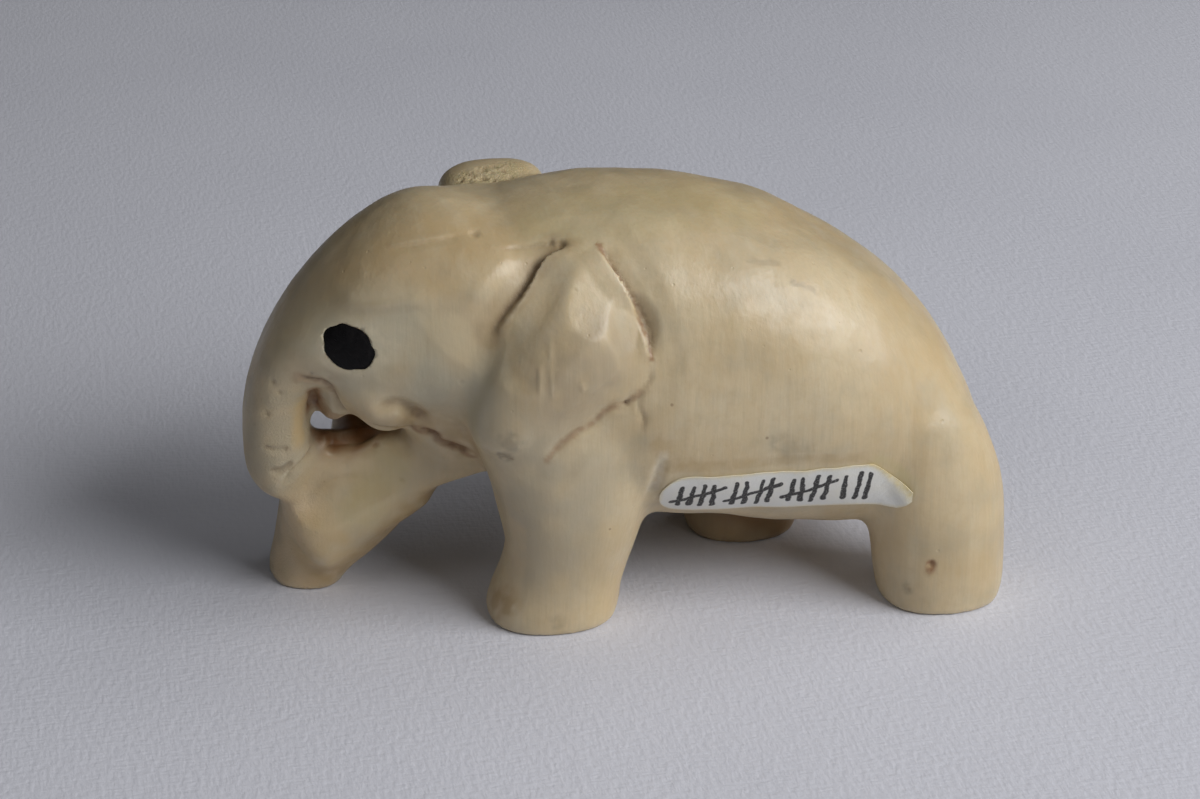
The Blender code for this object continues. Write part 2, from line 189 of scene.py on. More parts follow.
class Skin:
    """The skin of the carving as arrays in millimetres, worked on by passes of a tool."""

    def __init__(self, mesh: bpy.types.Mesh) -> None:
        """Reads the points, edges and triangles of the mesh."""
        self.mesh = mesh
        self.points = self._read(mesh.vertices, "co", 3, float) / MM
        self.edges = self._read(mesh.edges, "vertices", 2, np.int32)
        mesh.calc_loop_triangles()
        self.triangles = self._read(mesh.loop_triangles, "vertices", 3, np.int32)
        ends = np.bincount(self.edges.ravel(), minlength=len(self.points))
        self.neighbours = np.maximum(ends, 1)

    @staticmethod
    def _read(items: bpy.types.bpy_prop_collection, name: str, width: int, kind: type) -> np.ndarray:
        """One property of every item as rows of an array."""
        flat = np.empty(len(items) * width, kind)
        items.foreach_get(name, flat)
        return flat.reshape(-1, width)

    def write(self) -> None:
        """Puts the points back into the mesh, in metres."""
        self.mesh.vertices.foreach_set("co", (self.points * MM).ravel())
        self.mesh.update()

    def normals(self) -> np.ndarray:
        """Outward directions at the points."""
        a, b, c = (self.points[self.triangles[:, corner]] for corner in range(3))
        faces = np.cross(b - a, c - a)
        total = np.zeros_like(self.points)
        for corner in range(3):
            for axis in range(3):
                total[:, axis] += np.bincount(self.triangles[:, corner], faces[:, axis], len(self.points))
        return total / np.maximum(np.linalg.norm(total, axis=1, keepdims=True), 1e-12)

    def around(self, values: np.ndarray) -> np.ndarray:
        """Each point's mean over its neighbours, for one value per point."""
        first, second = self.edges[:, 0], self.edges[:, 1]
        count = len(values)
        total = np.bincount(first, values[second], count) + np.bincount(second, values[first], count)
        return total / self.neighbours

    def eased(self, values: np.ndarray, turns: int) -> np.ndarray:
        """Values spread over the skin by repeated averaging.

        Args:
            values: One value or one row per point.
            turns: How many times each point takes half of its neighbours' mean.

        Returns:
            The spread values, in the same form.
        """
        if values.ndim == 2:
            return np.stack([self.eased(column, turns) for column in values.T], axis=1)
        for _ in range(turns):
            values = (values + self.around(values)) / 2
        return values

    def ease(self, turns: int, share: np.ndarray | float = 1.0) -> None:
        """Sands the skin.

        Args:
            turns: How many passes of averaging.
            share: How much of the sanding each point takes.
        """
        smooth = self.eased(self.points, turns)
        self.points += (smooth - self.points) * (share[:, None] if isinstance(share, np.ndarray) else share)

    def near(self, path: Path, reach: float, normals: np.ndarray) -> Nearness:
        """Finds the points close to a path.

        Args:
            path: The points that the path runs through.
            reach: How far from the path to look, in millimetres.
            normals: Outward directions at all points.

        Returns:
            The rows of the points in reach, how far they are, how far along the path their foot is, from 0
            to 1, and the side that they are on, 1 for left and -1 for right.
        """
        line = rounded_path(path)
        low, high = line.min(axis=0) - reach, line.max(axis=0) + reach
        inside = np.all((self.points > low) & (self.points < high), axis=1)
        rows = np.flatnonzero(inside)
        points = self.points[rows]
        best = np.full(len(rows), np.inf)
        along, side = np.zeros(len(rows)), np.ones(len(rows))
        lengths = np.linalg.norm(np.diff(line, axis=0), axis=1)
        starts = np.concatenate([[0.0], np.cumsum(lengths)])
        for piece in range(len(lengths)):
            step = line[piece + 1] - line[piece]
            share = np.clip((points - line[piece]) @ step / max(step @ step, 1e-12), 0, 1)
            away = points - (line[piece] + share[:, None] * step)
            depth = (away * normals[rows]).sum(axis=1)
            distance = np.linalg.norm(away - FLATTENING * depth[:, None] * normals[rows], axis=1)
            closer = distance < best
            best[closer] = distance[closer]
            along[closer] = (starts[piece] + share[closer] * lengths[piece]) / max(starts[-1], 1e-9)
            turned = np.cross(normals[rows], step)
            side[closer] = np.where((turned * away).sum(axis=1)[closer] >= 0, 1, -1)
        kept = best < reach
        return Nearness(rows[kept], best[kept], along[kept], side[kept])

    def level(self, paths: tuple[Path, ...], reach: float, turns: int) -> None:
        """Sands the bands around some paths until their hollows are level with what lies beside them."""
        share = np.zeros(len(self.points))
        normals = self.normals()
        for path in paths:
            found = self.near(path, reach, normals)
            hold = np.clip(LEVEL_HOLD * (1 - (found.distance / reach) ** 2), 0, 1)
            share[found.rows] = np.maximum(share[found.rows], hold)
        self.ease(turns, share)

    def spot(self, at: Point, reach: float) -> tuple[np.ndarray, np.ndarray]:
        """The rows of the points within reach of a place, and how far they are."""
        distance = np.linalg.norm(self.points - np.array(at), axis=1)
        rows = np.flatnonzero(distance < reach)
        return rows, distance[rows]

    def cut(self, stroke: Stroke, normals: np.ndarray) -> None:
        """Takes one tool pass off the skin.

        Args:
            stroke: The pass.
            normals: Outward directions at all points.
        """
        reach = max(stroke.left, stroke.right)
        found = self.near(stroke.path, reach, normals)
        width = np.where(found.side > 0, stroke.left, stroke.right)
        across = np.clip(found.distance / width, 0, 1)
        if stroke.cut is Cut.KNIFE:
            profile = (1 - across) ** 1.4
        elif stroke.cut is Cut.GOUGE:
            profile = (1 - across**2) ** 2
        else:
            profile = -((1 - across**2) ** 2)
        profile *= run_out(found.along, stroke.fade)
        self.points[found.rows] -= normals[found.rows] * (profile * stroke.depth)[:, None]

    def shave(self, flat: Shave) -> None:
        """Files the skin down to a plane around one place."""
        facing = np.array(flat.facing) / np.linalg.norm(flat.facing)
        touched = self.points[np.argmin(np.linalg.norm(self.points - np.array(flat.at), axis=1))]
        rows, distance = self.spot(tuple(touched), flat.reach)
        above = (self.points[rows] - touched) @ facing + flat.drop
        hold = np.clip(SHAVE_HOLD * (1 - (distance / flat.reach) ** 2), 0, 1) * flat.share
        self.points[rows] -= facing * (np.maximum(above, 0) * hold)[:, None]

    def chip(self, pore: Pore, normals: np.ndarray) -> None:
        """Sinks one pore into the skin."""
        rows, distance = self.spot(pore.at, pore.radius)
        profile = (1 - (distance / pore.radius) ** 2) ** 1.5
        self.points[rows] -= normals[rows] * (profile * pore.depth)[:, None]


def finished(bm: bmesh.types.BMesh, name: str) -> bpy.types.Object:
    """An object of the shape, linked to the scene."""
    mesh = bpy.data.meshes.new(name)
    bm.to_mesh(mesh)
    bm.free()
    item = bpy.data.objects.new(name, mesh)
    bpy.context.scene.collection.objects.link(item)
    return item


def run_out(along: np.ndarray, fade: float) -> np.ndarray:
    """How much of a pass is left at each share of its length, running out at both ends."""
    if fade <= 0:
        return np.ones_like(along)
    ends = np.clip(np.minimum(along, 1 - along) / fade, 0, 1)
    return ends * ends * (3 - 2 * ends)


class Bench:
    """Lays nodes in one tree and wires them."""

    def __init__(self, tree: bpy.types.NodeTree) -> None:
        """Takes the tree to work in."""
        self.tree = tree

    def node(self, kind: str, **settings: object) -> bpy.types.Node:
        """A new node with some of its own settings changed."""
        node = self.tree.nodes.new(kind)
        for name, value in settings.items():
            setattr(node, name, value)
        return node

    def wire(self, source: object, target: bpy.types.NodeSocket) -> None:
        """Feeds a socket from another socket, or sets it to a plain value."""
        if isinstance(source, bpy.types.NodeSocket):
            self.tree.links.new(source, target)
        else:
            target.default_value = source

    def times(self, a: object, b: object, clamp: bool = False) -> bpy.types.NodeSocket:
        """The product of two sockets or numbers."""
        return self.math("MULTIPLY", a, b, clamp=clamp)

    def plus(self, a: object, b: object, clamp: bool = False) -> bpy.types.NodeSocket:
        """The sum of two sockets or numbers."""
        return self.math("ADD", a, b, clamp=clamp)

    def math(self, operation: str, *terms: object, clamp: bool = False) -> bpy.types.NodeSocket:
        """The result of one sum on sockets or numbers."""
        node = self.node("ShaderNodeMath", operation=operation, use_clamp=clamp)
        for term, socket in zip(terms, node.inputs):
            self.wire(term, socket)
        return node.outputs[0]

    def vector(self, operation: str, *terms: object) -> bpy.types.NodeSocket:
        """The result of one vector sum on sockets or triples."""
        node = self.node("ShaderNodeVectorMath", operation=operation)
        for term, socket in zip(terms, node.inputs):
            self.wire(term, socket)
        return node.outputs["Value" if operation in ("LENGTH", "DOT_PRODUCT", "DISTANCE") else "Vector"]

    def blend(self, share: object, first: object, second: object, kind: str = "MIX") -> bpy.types.NodeSocket:
        """One colour laid over another by a share."""
        node = self.node("ShaderNodeMix", data_type="RGBA", blend_type=kind)
        node.clamp_factor = True
        for term, name in ((share, "Factor_Float"), (first, "A_Color"), (second, "B_Color")):
            socket = next(item for item in node.inputs if item.identifier == name)
            self.wire((*term, 1.0) if isinstance(term, tuple) else term, socket)
        return next(item for item in node.outputs if item.identifier == "Result_Color")

    def span(
        self, value: object, low: object, high: object, new_low: object = 0.0, new_high: object = 1.0
    ) -> bpy.types.NodeSocket:
        """A value's place between two limits, eased, as a new range."""
        node = self.node("ShaderNodeMapRange", interpolation_type="SMOOTHSTEP", clamp=True)
        for term, socket in zip((value, low, high, new_low, new_high), node.inputs):
            self.wire(term, socket)
        return node.outputs["Result"]

    def place(self, name: str, **inputs: object) -> bpy.types.NodeSocket:
        """A shared group placed with its own values; its first output."""
        node = self.node("ShaderNodeGroup")
        node.node_tree = shared_group(name)
        for key, value in inputs.items():
            self.wire(value, node.inputs[key.replace("_", " ").title()])
        return node.outputs[0]

    def attribute(self, name: str, output: str = "Fac") -> bpy.types.NodeSocket:
        """A value or colour painted on the mesh."""
        node = self.node("ShaderNodeAttribute", attribute_type="GEOMETRY", attribute_name=name)
        return node.outputs[output]

    def millimetres(self) -> bpy.types.NodeSocket:
        """Places on the piece in millimetres."""
        mapping = self.node("ShaderNodeMapping")
        mapping.inputs["Scale"].default_value = (1 / MM,) * 3
        self.wire(self.node("ShaderNodeTexCoord").outputs["Object"], mapping.inputs["Vector"])
        return mapping.outputs["Vector"]


def group_sockets(tree: bpy.types.NodeTree, inputs: tuple[tuple[str, str, object], ...]) -> None:
    """Gives a group its named inputs and one output called Mask.

    Args:
        tree: The group.
        inputs: The name, kind and plain value of each input.
    """
    for name, kind, value in inputs:
        socket = tree.interface.new_socket(name, in_out="INPUT", socket_type=f"NodeSocket{kind}")
        if value is not None:
            socket.default_value = value
    tree.interface.new_socket("Mask", in_out="OUTPUT", socket_type="NodeSocketFloat")


def build_mottle(tree: bpy.types.NodeTree) -> None:
    """Soft uneven patches."""
    group_sockets(
        tree,
        (("Vector", "Vector", None), ("Size", "Float", 5.0),
         ("Detail", "Float", 3.0), ("Rough", "Float", 0.5),
         ("Low", "Float", 0.35), ("High", "Float", 0.65)),
    )
    bench = Bench(tree)
    given, out = bench.node("NodeGroupInput").outputs, bench.node("NodeGroupOutput")
    noise = bench.node("ShaderNodeTexNoise")
    bench.wire(given["Vector"], noise.inputs["Vector"])
    bench.wire(bench.math("DIVIDE", 1.0, given["Size"]), noise.inputs["Scale"])
    bench.wire(given["Detail"], noise.inputs["Detail"])
    bench.wire(given["Rough"], noise.inputs["Roughness"])
    bench.wire(bench.span(noise.outputs["Fac"], given["Low"], given["High"]), out.inputs["Mask"])


def build_streaks(tree: bpy.types.NodeTree) -> None:
    """Noise drawn out along one direction, as grain or the marks of a scraper."""
    group_sockets(
        tree,
        (("Vector", "Vector", None), ("Stretch", "Vector", (1.0, 1.0, 0.1)), ("Size", "Float", 0.5),
         ("Turn", "Vector", (0.0, 0.0, 0.0)), ("Low", "Float", 0.4), ("High", "Float", 0.7)),
    )
    bench = Bench(tree)
    given, out = bench.node("NodeGroupInput").outputs, bench.node("NodeGroupOutput")
    turned = bench.node("ShaderNodeVectorRotate", rotation_type="EULER_XYZ")
    bench.wire(given["Vector"], turned.inputs["Vector"])
    bench.wire(given["Turn"], turned.inputs["Rotation"])
    drawn_out = bench.vector("MULTIPLY", turned.outputs["Vector"], given["Stretch"])
    noise = bench.node("ShaderNodeTexNoise")
    bench.wire(drawn_out, noise.inputs["Vector"])
    bench.wire(bench.math("DIVIDE", 1.0, given["Size"]), noise.inputs["Scale"])
    noise.inputs["Detail"].default_value = 3.0
    bench.wire(bench.span(noise.outputs["Fac"], given["Low"], given["High"]), out.inputs["Mask"])


def build_specks(tree: bpy.types.NodeTree) -> None:
    """Scattered small dots, some of the cells of a Voronoi pattern."""
    group_sockets(
        tree,
        (("Vector", "Vector", None), ("Spacing", "Float", 1.0),
         ("Width", "Float", 0.2), ("Share", "Float", 0.3)),
    )
    bench = Bench(tree)
    given, out = bench.node("NodeGroupInput").outputs, bench.node("NodeGroupOutput")
    cells = bench.node("ShaderNodeTexVoronoi", feature="F1")
    bench.wire(given["Vector"], cells.inputs["Vector"])
    bench.wire(bench.math("DIVIDE", 1.0, given["Spacing"]), cells.inputs["Scale"])
    lot = bench.node("ShaderNodeSeparateColor")
    bench.wire(cells.outputs["Color"], lot.inputs["Color"])
    chosen = bench.math("LESS_THAN", lot.outputs[0], given["Share"])
    width = bench.times(bench.math("DIVIDE", given["Width"], given["Spacing"]), lot.outputs[1])
    dot = bench.span(cells.outputs["Distance"], bench.times(width, 0.4), width, 1.0, 0.0)
    bench.wire(bench.times(dot, chosen), out.inputs["Mask"])


def build_pen_line(tree: bpy.types.NodeTree) -> None:
    """A straight felt pen line between two places."""
    group_sockets(
        tree,
        (("Vector", "Vector", None), ("Start", "Vector", None),
         ("End", "Vector", None), ("Half", "Float", 0.2)),
    )
    bench = Bench(tree)
    given, out = bench.node("NodeGroupInput").outputs, bench.node("NodeGroupOutput")
    step = bench.vector("SUBTRACT", given["End"], given["Start"])
    away = bench.vector("SUBTRACT", given["Vector"], given["Start"])
    length = bench.vector("DOT_PRODUCT", step, step)
    share = bench.math("DIVIDE", bench.vector("DOT_PRODUCT", away, step), length, clamp=True)
    scaled = bench.node("ShaderNodeVectorMath", operation="SCALE")
    bench.wire(step, scaled.inputs[0])
    bench.wire(share, scaled.inputs["Scale"])
    distance = bench.vector("LENGTH", bench.vector("SUBTRACT", away, scaled.outputs["Vector"]))
    thin = bench.times(given["Half"], bench.math("SUBTRACT", 1.1, bench.times(share, 0.25)))
    bench.wire(
        bench.span(distance, bench.times(thin, 0.75), bench.times(thin, 1.2), 1.0, 0.0),
        out.inputs["Mask"],
    )


GROUPS = {
    "mottle": build_mottle,
    "streaks": build_streaks,
    "specks": build_specks,
    "pen line": build_pen_line,
}


def shared_group(name: str) -> bpy.types.NodeTree:
    """The shared node group of that name, built the first time it is asked for."""
    found = bpy.data.node_groups.get(name)
    if found is None:
        found = bpy.data.node_groups.new(name, "ShaderNodeTree")
        GROUPS[name](found)
    return found


def fresh_material(name: str) -> tuple[bpy.types.Material, Bench, bpy.types.Node]:
    """A new material, a bench for its nodes, and its Principled shader."""
    material = bpy.data.materials.new(name)
    material.use_nodes = True
    shader = material.node_tree.nodes["Principled BSDF"]
    return material, Bench(material.node_tree), shader


@dataclass(frozen=True)
class BoneFinish:
    """Scraped and handled bone: cream, with grey and honey patches and brown dirt in its hollows."""

    cream: Colour = (0.62, 0.505, 0.32)
    honey: Colour = (0.50, 0.365, 0.19)
    ash: Colour = (0.42, 0.36, 0.245)
    umber: Colour = (0.17, 0.09, 0.04)
    pale: Colour = (0.66, 0.575, 0.41)
    polish: float = 0.30
    dull: float = 0.62
    glow: float = 0.12
    glow_depth: float = 1.2 * MM

    def build(self) -> bpy.types.Material:
        """The material."""
        material, bench, shader = fresh_material("bone")
        place = bench.millimetres()
        colour = self.colour(bench, place)
        bench.wire(colour, shader.inputs["Base Color"])
        bench.wire(self.roughness(bench, place), shader.inputs["Roughness"])
        bump = bench.node("ShaderNodeBump")
        bump.inputs["Distance"].default_value = 0.09 * MM
        bump.inputs["Strength"].default_value = 0.6
        bench.wire(self.relief(bench, place), bump.inputs["Height"])
        bench.wire(bump.outputs["Normal"], shader.inputs["Normal"])
        shader.inputs["IOR"].default_value = 1.5
        shader.inputs["Subsurface Weight"].default_value = self.glow
        shader.inputs["Subsurface Radius"].default_value = (1.0, 0.55, 0.3)
        shader.inputs["Subsurface Scale"].default_value = self.glow_depth
        return material

    def colour(self, bench: Bench, place: bpy.types.NodeSocket) -> bpy.types.NodeSocket:
        """Colour from the bone's patches, its staining with the painted shade and painted light laid among it,
        and its dirt.

        Args:
            bench: Where the nodes are laid.
            place: Places on the piece in millimetres.

        Returns:
            The colour socket.
        """
        broad = bench.place("mottle", vector=place, size=13.0, detail=3.0, low=0.35, high=0.68)
        middle = bench.place("mottle", vector=place, size=4.2, detail=4.0, low=0.42, high=0.72)
        small = bench.place("mottle", vector=place, size=1.1, detail=4.0, rough=0.65, low=0.4, high=0.75)
        grain = bench.place("streaks", vector=place, size=0.34, stretch=(1.0, 1.0, 0.09), low=0.45, high=0.75)
        long_grain = bench.place(
            "streaks", vector=place, size=1.5, stretch=(1.0, 0.6, 0.16), low=0.4, high=0.75
        )
        colour = bench.blend(bench.times(broad, 0.65), self.cream, self.honey)
        colour = bench.blend(bench.times(middle, 0.5), colour, self.ash)
        colour = bench.blend(bench.times(long_grain, 0.28), colour, self.pale)
        colour = bench.blend(bench.times(small, 0.28), colour, self.honey)
        colour = bench.blend(bench.times(grain, 0.18), colour, self.ash)
        # The staining, with the patches of painted shade and painted light among it.
        colour = bench.blend(bench.attribute("stain_and_shading_share"), colour, bench.attribute("stain_and_shading", "Color"))
        worn = bench.times(bench.attribute("wear"), bench.plus(0.35, bench.times(small, 0.5)))
        colour = bench.blend(worn, colour, self.pale)
        dirt = self.dirt(bench, place)
        colour = bench.blend(dirt, colour, self.umber)
        specks = bench.place("specks", vector=place, spacing=1.7, width=0.22, share=0.10)
        return bench.blend(bench.times(specks, 0.5), colour, self.umber)

    def dirt(self, bench: Bench, place: bpy.types.NodeSocket) -> bpy.types.NodeSocket:
        """How much dirt lies in the hollows, broken up by the roughness of the bone."""
        patchy = bench.place("mottle", vector=place, size=0.8, detail=4.0, rough=0.7, low=0.25, high=0.75)
        broken = bench.plus(0.55, bench.times(patchy, 0.75))
        return bench.times(bench.attribute("dirt"), broken, clamp=True)

    def roughness(self, bench: Bench, place: bpy.types.NodeSocket) -> bpy.types.NodeSocket:
        """Roughness: polished by handling where the bone stands out, dull in the hollows."""
        patchy = bench.place("mottle", vector=place, size=2.4, detail=4.0, rough=0.6, low=0.3, high=0.75)
        scraped = bench.place("streaks", vector=place, size=0.3, stretch=(1.0, 1.0, 0.1), low=0.4, high=0.7)
        value = bench.plus(self.polish, bench.times(patchy, 0.13))
        value = bench.plus(value, bench.times(scraped, 0.06))
        dulled = bench.times(bench.attribute("dirt"), self.dull - self.polish)
        return bench.plus(value, dulled, clamp=True)

    def relief(self, bench: Bench, place: bpy.types.NodeSocket) -> bpy.types.NodeSocket:
        """Height of the fine surface: scraper marks, pores and small pits."""
        scraped = bench.place(
            "streaks", vector=place, size=0.45, stretch=(1.0, 1.0, 0.07), low=0.3, high=0.75
        )
        crossed = bench.place(
            "streaks", vector=place, size=0.5, stretch=(1.0, 1.0, 0.06), turn=(0.0, 1.1, 0.0),
            low=0.35, high=0.8,
        )
        fine = bench.place("mottle", vector=place, size=0.35, detail=3.0, low=0.2, high=0.8)
        lumps = bench.place("mottle", vector=place, size=2.6, detail=2.0, low=0.2, high=0.8)
        rough = bench.place("mottle", vector=place, size=0.22, detail=3.0, rough=0.7, low=0.25, high=0.8)
        pits = bench.place("specks", vector=place, spacing=1.1, width=0.22, share=0.16)
        height = bench.times(scraped, 0.18)
        height = bench.plus(height, bench.times(crossed, 0.07))
        height = bench.plus(height, bench.times(fine, 0.08))
        height = bench.plus(height, bench.times(lumps, 0.5))
        coarse = bench.times(bench.times(rough, bench.attribute("rough")), 1.6)
        height = bench.plus(height, coarse)
        return bench.math("SUBTRACT", height, bench.times(pits, 0.5))


@dataclass(frozen=True)
class InlayFinish:
    """Black horn or resin, cut with a knife and rubbed down."""

    black: Colour = (0.004, 0.0035, 0.0035)
    worn: Colour = (0.012, 0.010, 0.010)
    polish: float = 0.40
    gleam: float = 0.12

    def build(self) -> bpy.types.Material:
        """The material."""
        material, bench, shader = fresh_material("black inlay")
        place = bench.millimetres()
        cloudy = bench.place("mottle", vector=place, size=0.9, detail=4.0, rough=0.65, low=0.4, high=0.75)
        scraped = bench.place(
            "streaks", vector=place, size=0.16, stretch=(1.0, 1.0, 0.1), turn=(0.0, 0.7, 0.0)
        )
        colour = bench.blend(bench.times(cloudy, 0.5), self.black, self.worn)
        bench.wire(colour, shader.inputs["Base Color"])
        rough = bench.plus(self.polish, bench.times(cloudy, 0.2))
        bench.wire(rough, shader.inputs["Roughness"])
        shader.inputs["Specular IOR Level"].default_value = self.gleam
        bump = bench.node("ShaderNodeBump")
        bump.inputs["Distance"].default_value = 0.05 * MM
        bump.inputs["Strength"].default_value = 0.5
        bench.wire(bench.plus(scraped, cloudy), bump.inputs["Height"])
        bench.wire(bump.outputs["Normal"], shader.inputs["Normal"])
        return material


@dataclass(frozen=True)
class PaperFinish:
    """Gummed paper with yellowed edges and black pen tallies."""

    paper: Colour = (0.74, 0.735, 0.70)
    foxed: Colour = (0.76, 0.70, 0.52)
    gum: Colour = (0.70, 0.58, 0.30)
    ink: Colour = (0.022, 0.02, 0.02)
    pen_half: float = 0.24

    def build(self, lines: tuple[tuple[float, float, float, float], ...]) -> bpy.types.Material:
        """The material.

        Args:
            lines: Where each pen line starts and ends on the label, in millimetres.

        Returns:
            The material.
        """
        material, bench, shader = fresh_material("label paper")
        spread = bench.node("ShaderNodeMapping")
        spread.inputs["Scale"].default_value = (PaperLabel.UV_UNIT, PaperLabel.UV_UNIT, 1.0)
        bench.wire(bench.node("ShaderNodeUVMap", uv_map="paper").outputs["UV"], spread.inputs["Vector"])
        place = spread.outputs["Vector"]
        fibres = bench.place("mottle", vector=place, size=0.5, detail=5.0, rough=0.7, low=0.3, high=0.75)
        cloudy = bench.place("mottle", vector=place, size=3.0, detail=3.0, low=0.4, high=0.75)
        colour = bench.blend(bench.times(cloudy, 0.25), self.paper, self.foxed)
        colour = bench.blend(bench.times(fibres, 0.12), colour, self.foxed)
        aged = bench.times(bench.attribute("aged"), bench.plus(0.55, bench.times(fibres, 0.6)))
        colour = bench.blend(aged, colour, self.gum)
        colour = bench.blend(self.pen(bench, place, lines), colour, self.ink)
        bench.wire(colour, shader.inputs["Base Color"])
        bench.wire(bench.plus(0.6, bench.times(fibres, 0.2)), shader.inputs["Roughness"])
        bump = bench.node("ShaderNodeBump")
        bump.inputs["Distance"].default_value = 0.04 * MM
        bump.inputs["Strength"].default_value = 0.5
        bench.wire(bench.plus(fibres, bench.times(cloudy, 2.0)), bump.inputs["Height"])
        bench.wire(bump.outputs["Normal"], shader.inputs["Normal"])
        return material

    def pen(
        self, bench: Bench, place: bpy.types.NodeSocket, lines: tuple[tuple[float, float, float, float], ...]
    ) -> bpy.types.NodeSocket:
        """Where the ink lies.

        Args:
            bench: Where the nodes are laid.
            place: Places on the label in millimetres.
            lines: Where each pen line starts and ends.

        Returns:
            A mask, 1 under ink.
        """
        shaky = bench.node("ShaderNodeTexNoise")
        bench.wire(place, shaky.inputs["Vector"])
        shaky.inputs["Scale"].default_value = 0.9
        shift = bench.vector("SUBTRACT", shaky.outputs["Color"], (0.5, 0.5, 0.5))
        hand = bench.vector("ADD", place, bench.vector("MULTIPLY", shift, (0.5, 0.5, 0.0)))
        inked: object = 0.0
        for x0, y0, x1, y1 in lines:
            start, end = (x0, y0, 0.0), (x1, y1, 0.0)
            line = bench.place("pen line", vector=hand, start=start, end=end, half=self.pen_half)
            inked = bench.math("MAXIMUM", inked, line)
        dry = bench.place("mottle", vector=place, size=0.16, detail=2.0, low=0.25, high=0.5)
        return bench.times(inked, bench.plus(0.72, bench.times(dry, 0.26)))


@dataclass(frozen=True)
class FloorFinish:
    """Plain pale cloth board."""

    pale: Colour = (0.73, 0.74, 0.815)
    shade: Colour = (0.70, 0.71, 0.785)

    def build(self) -> bpy.types.Material:
        """The material."""
        material, bench, shader = fresh_material("pale floor")
        place = bench.millimetres()
        cloudy = bench.place("mottle", vector=place, size=40.0, detail=3.0, low=0.3, high=0.7)
        threads = bench.place("streaks", vector=place, size=0.5, stretch=(1.0, 0.35, 1.0), low=0.3, high=0.7)
        crossing = bench.place("streaks", vector=place, size=0.5, stretch=(0.35, 1.0, 1.0), low=0.3, high=0.7)
        bench.wire(bench.blend(cloudy, self.pale, self.shade), shader.inputs["Base Color"])
        shader.inputs["Roughness"].default_value = 0.9
        bump = bench.node("ShaderNodeBump")
        bump.inputs["Distance"].default_value = 0.10 * MM
        bump.inputs["Strength"].default_value = 0.25
        bench.wire(bench.plus(threads, crossing), bump.inputs["Height"])
        bench.wire(bump.outputs["Normal"], shader.inputs["Normal"])
        return material


EAR_FRONT: Path = (
    (-5.6, -8.2, 36.9), (-6.6, -8.0, 36.3), (-7.9, -7.8, 35.1), (-8.8, -8.3, 34.1), (-10.1, -9.3, 32.9),
    (-11.2, -9.9, 32.0), (-12.3, -10.2, 30.7), (-13.4, -10.6, 29.2),
)
EAR_FRONT_FACE: Path = ((-5.5, -10.5, 34.0), (-8.0, -12.0, 31.5), (-10.5, -12.6, 28.5))
EAR_BACK: Path = (
    (-3.6, -8.3, 36.6), (-3.3, -9.2, 35.8), (-2.8, -9.7, 34.8), (-2.0, -10.2, 33.5), (-1.3, -10.8, 32.5),
    (-0.9, -11.3, 31.4), (-0.4, -11.8, 30.2), (-0.1, -12.2, 28.9), (0.2, -12.6, 27.3),
)
EAR_FOOT: Path = (
    (-0.5, -13.1, 24.9), (-2.0, -12.6, 23.6), (-3.4, -12.7, 23.2), (-4.9, -12.3, 21.9),
    (-6.4, -12.8, 21.1), (-7.4, -12.9, 20.4), (-8.2, -12.8, 19.6), (-8.8, -12.7, 18.7),
)
EAR_TIP: Path = (
    (0.2, -12.8, 27.0), (0.1, -13.1, 25.9), (-0.6, -13.1, 24.8), (-0.8, -12.6, 23.3), (-0.5, -13.1, 22.2),
    (-0.6, -13.1, 20.4),
)
EAR_SHELF: Path = (
    (-5.6, -8.2, 36.7), (-7.6, -7.2, 36.5), (-9.4, -7.0, 36.3), (-11.0, -7.1, 36.3), (-12.6, -7.3, 36.3),
)
BROW: Path = ((-22.0, -5.2, 36.2), (-19.5, -6.0, 36.8), (-17.0, -6.2, 37.1), (-14.3, -5.8, 37.4))
MOUTH_LINE: Path = ((-29.7, -5.6, 24.9), (-28.4, -5.9, 24.6), (-27.3, -6.0, 24.3), (-26.5, -5.3, 23.0))
LIP_BACK: Path = ((-26.8, -5.5, 23.5), (-26.2, -4.8, 22.1), (-25.4, -4.2, 20.8))
TRUNK_SLIT: Path = ((-28.2, -4.6, 23.1), (-28.1, -3.6, 21.8), (-28.2, -2.6, 20.4))
NOSTRIL: Path = ((-32.9, -3.6, 17.7), (-31.9, -3.9, 17.3), (-30.3, -3.8, 17.3))
TRUNK_TIP: Path = ((-32.5, -3.5, 15.1), (-31.4, -3.7, 15.0), (-30.4, -3.7, 15.6), (-30.5, -3.8, 16.2))
TRUNK_FOLD: Path = (
    (-28.4, -1.3, 16.5), (-28.9, -2.5, 15.8), (-29.4, -3.1, 15.4), (-30.3, -3.5, 14.6),
    (-31.0, -3.3, 13.1),
)
CHEEK_EDGE: Path = (
    (-24.4, -5.6, 20.7), (-23.6, -5.8, 20.1), (-22.8, -6.1, 19.8), (-21.7, -6.0, 19.5),
    (-20.6, -5.2, 18.8), (-19.2, -4.1, 18.5),
)
CHEEK_ARCH: Path = (
    (-23.0, -7.0, 21.2), (-22.4, -7.4, 22.1), (-21.4, -7.4, 22.4), (-20.4, -7.0, 21.9),
    (-19.0, -5.4, 20.3), (-17.8, -5.3, 19.5),
)
THROAT_CREASE: Path = (
    (-19.2, -4.3, 18.7), (-17.8, -4.9, 18.4), (-17.2, -4.8, 17.5), (-16.2, -4.8, 17.0),
    (-15.2, -4.7, 16.4), (-14.4, -4.6, 15.7),
)
FORELEG_DISH: Path = ((-27.2, -0.8, 16.4), (-25.6, -1.0, 16.2), (-24.0, -0.5, 16.4), (-22.8, 0.6, 16.4))
TEMPLE_EDGE: Path = ((-26.5, -5.6, 32.0), (-23.3, -7.7, 32.5), (-20.0, -8.7, 32.8), (-17.4, -9.3, 33.0))
LEG_CREASE: Path = ((1.4, -13.1, 18.4), (0.9, -12.5, 16.2), (0.5, -10.9, 13.0))
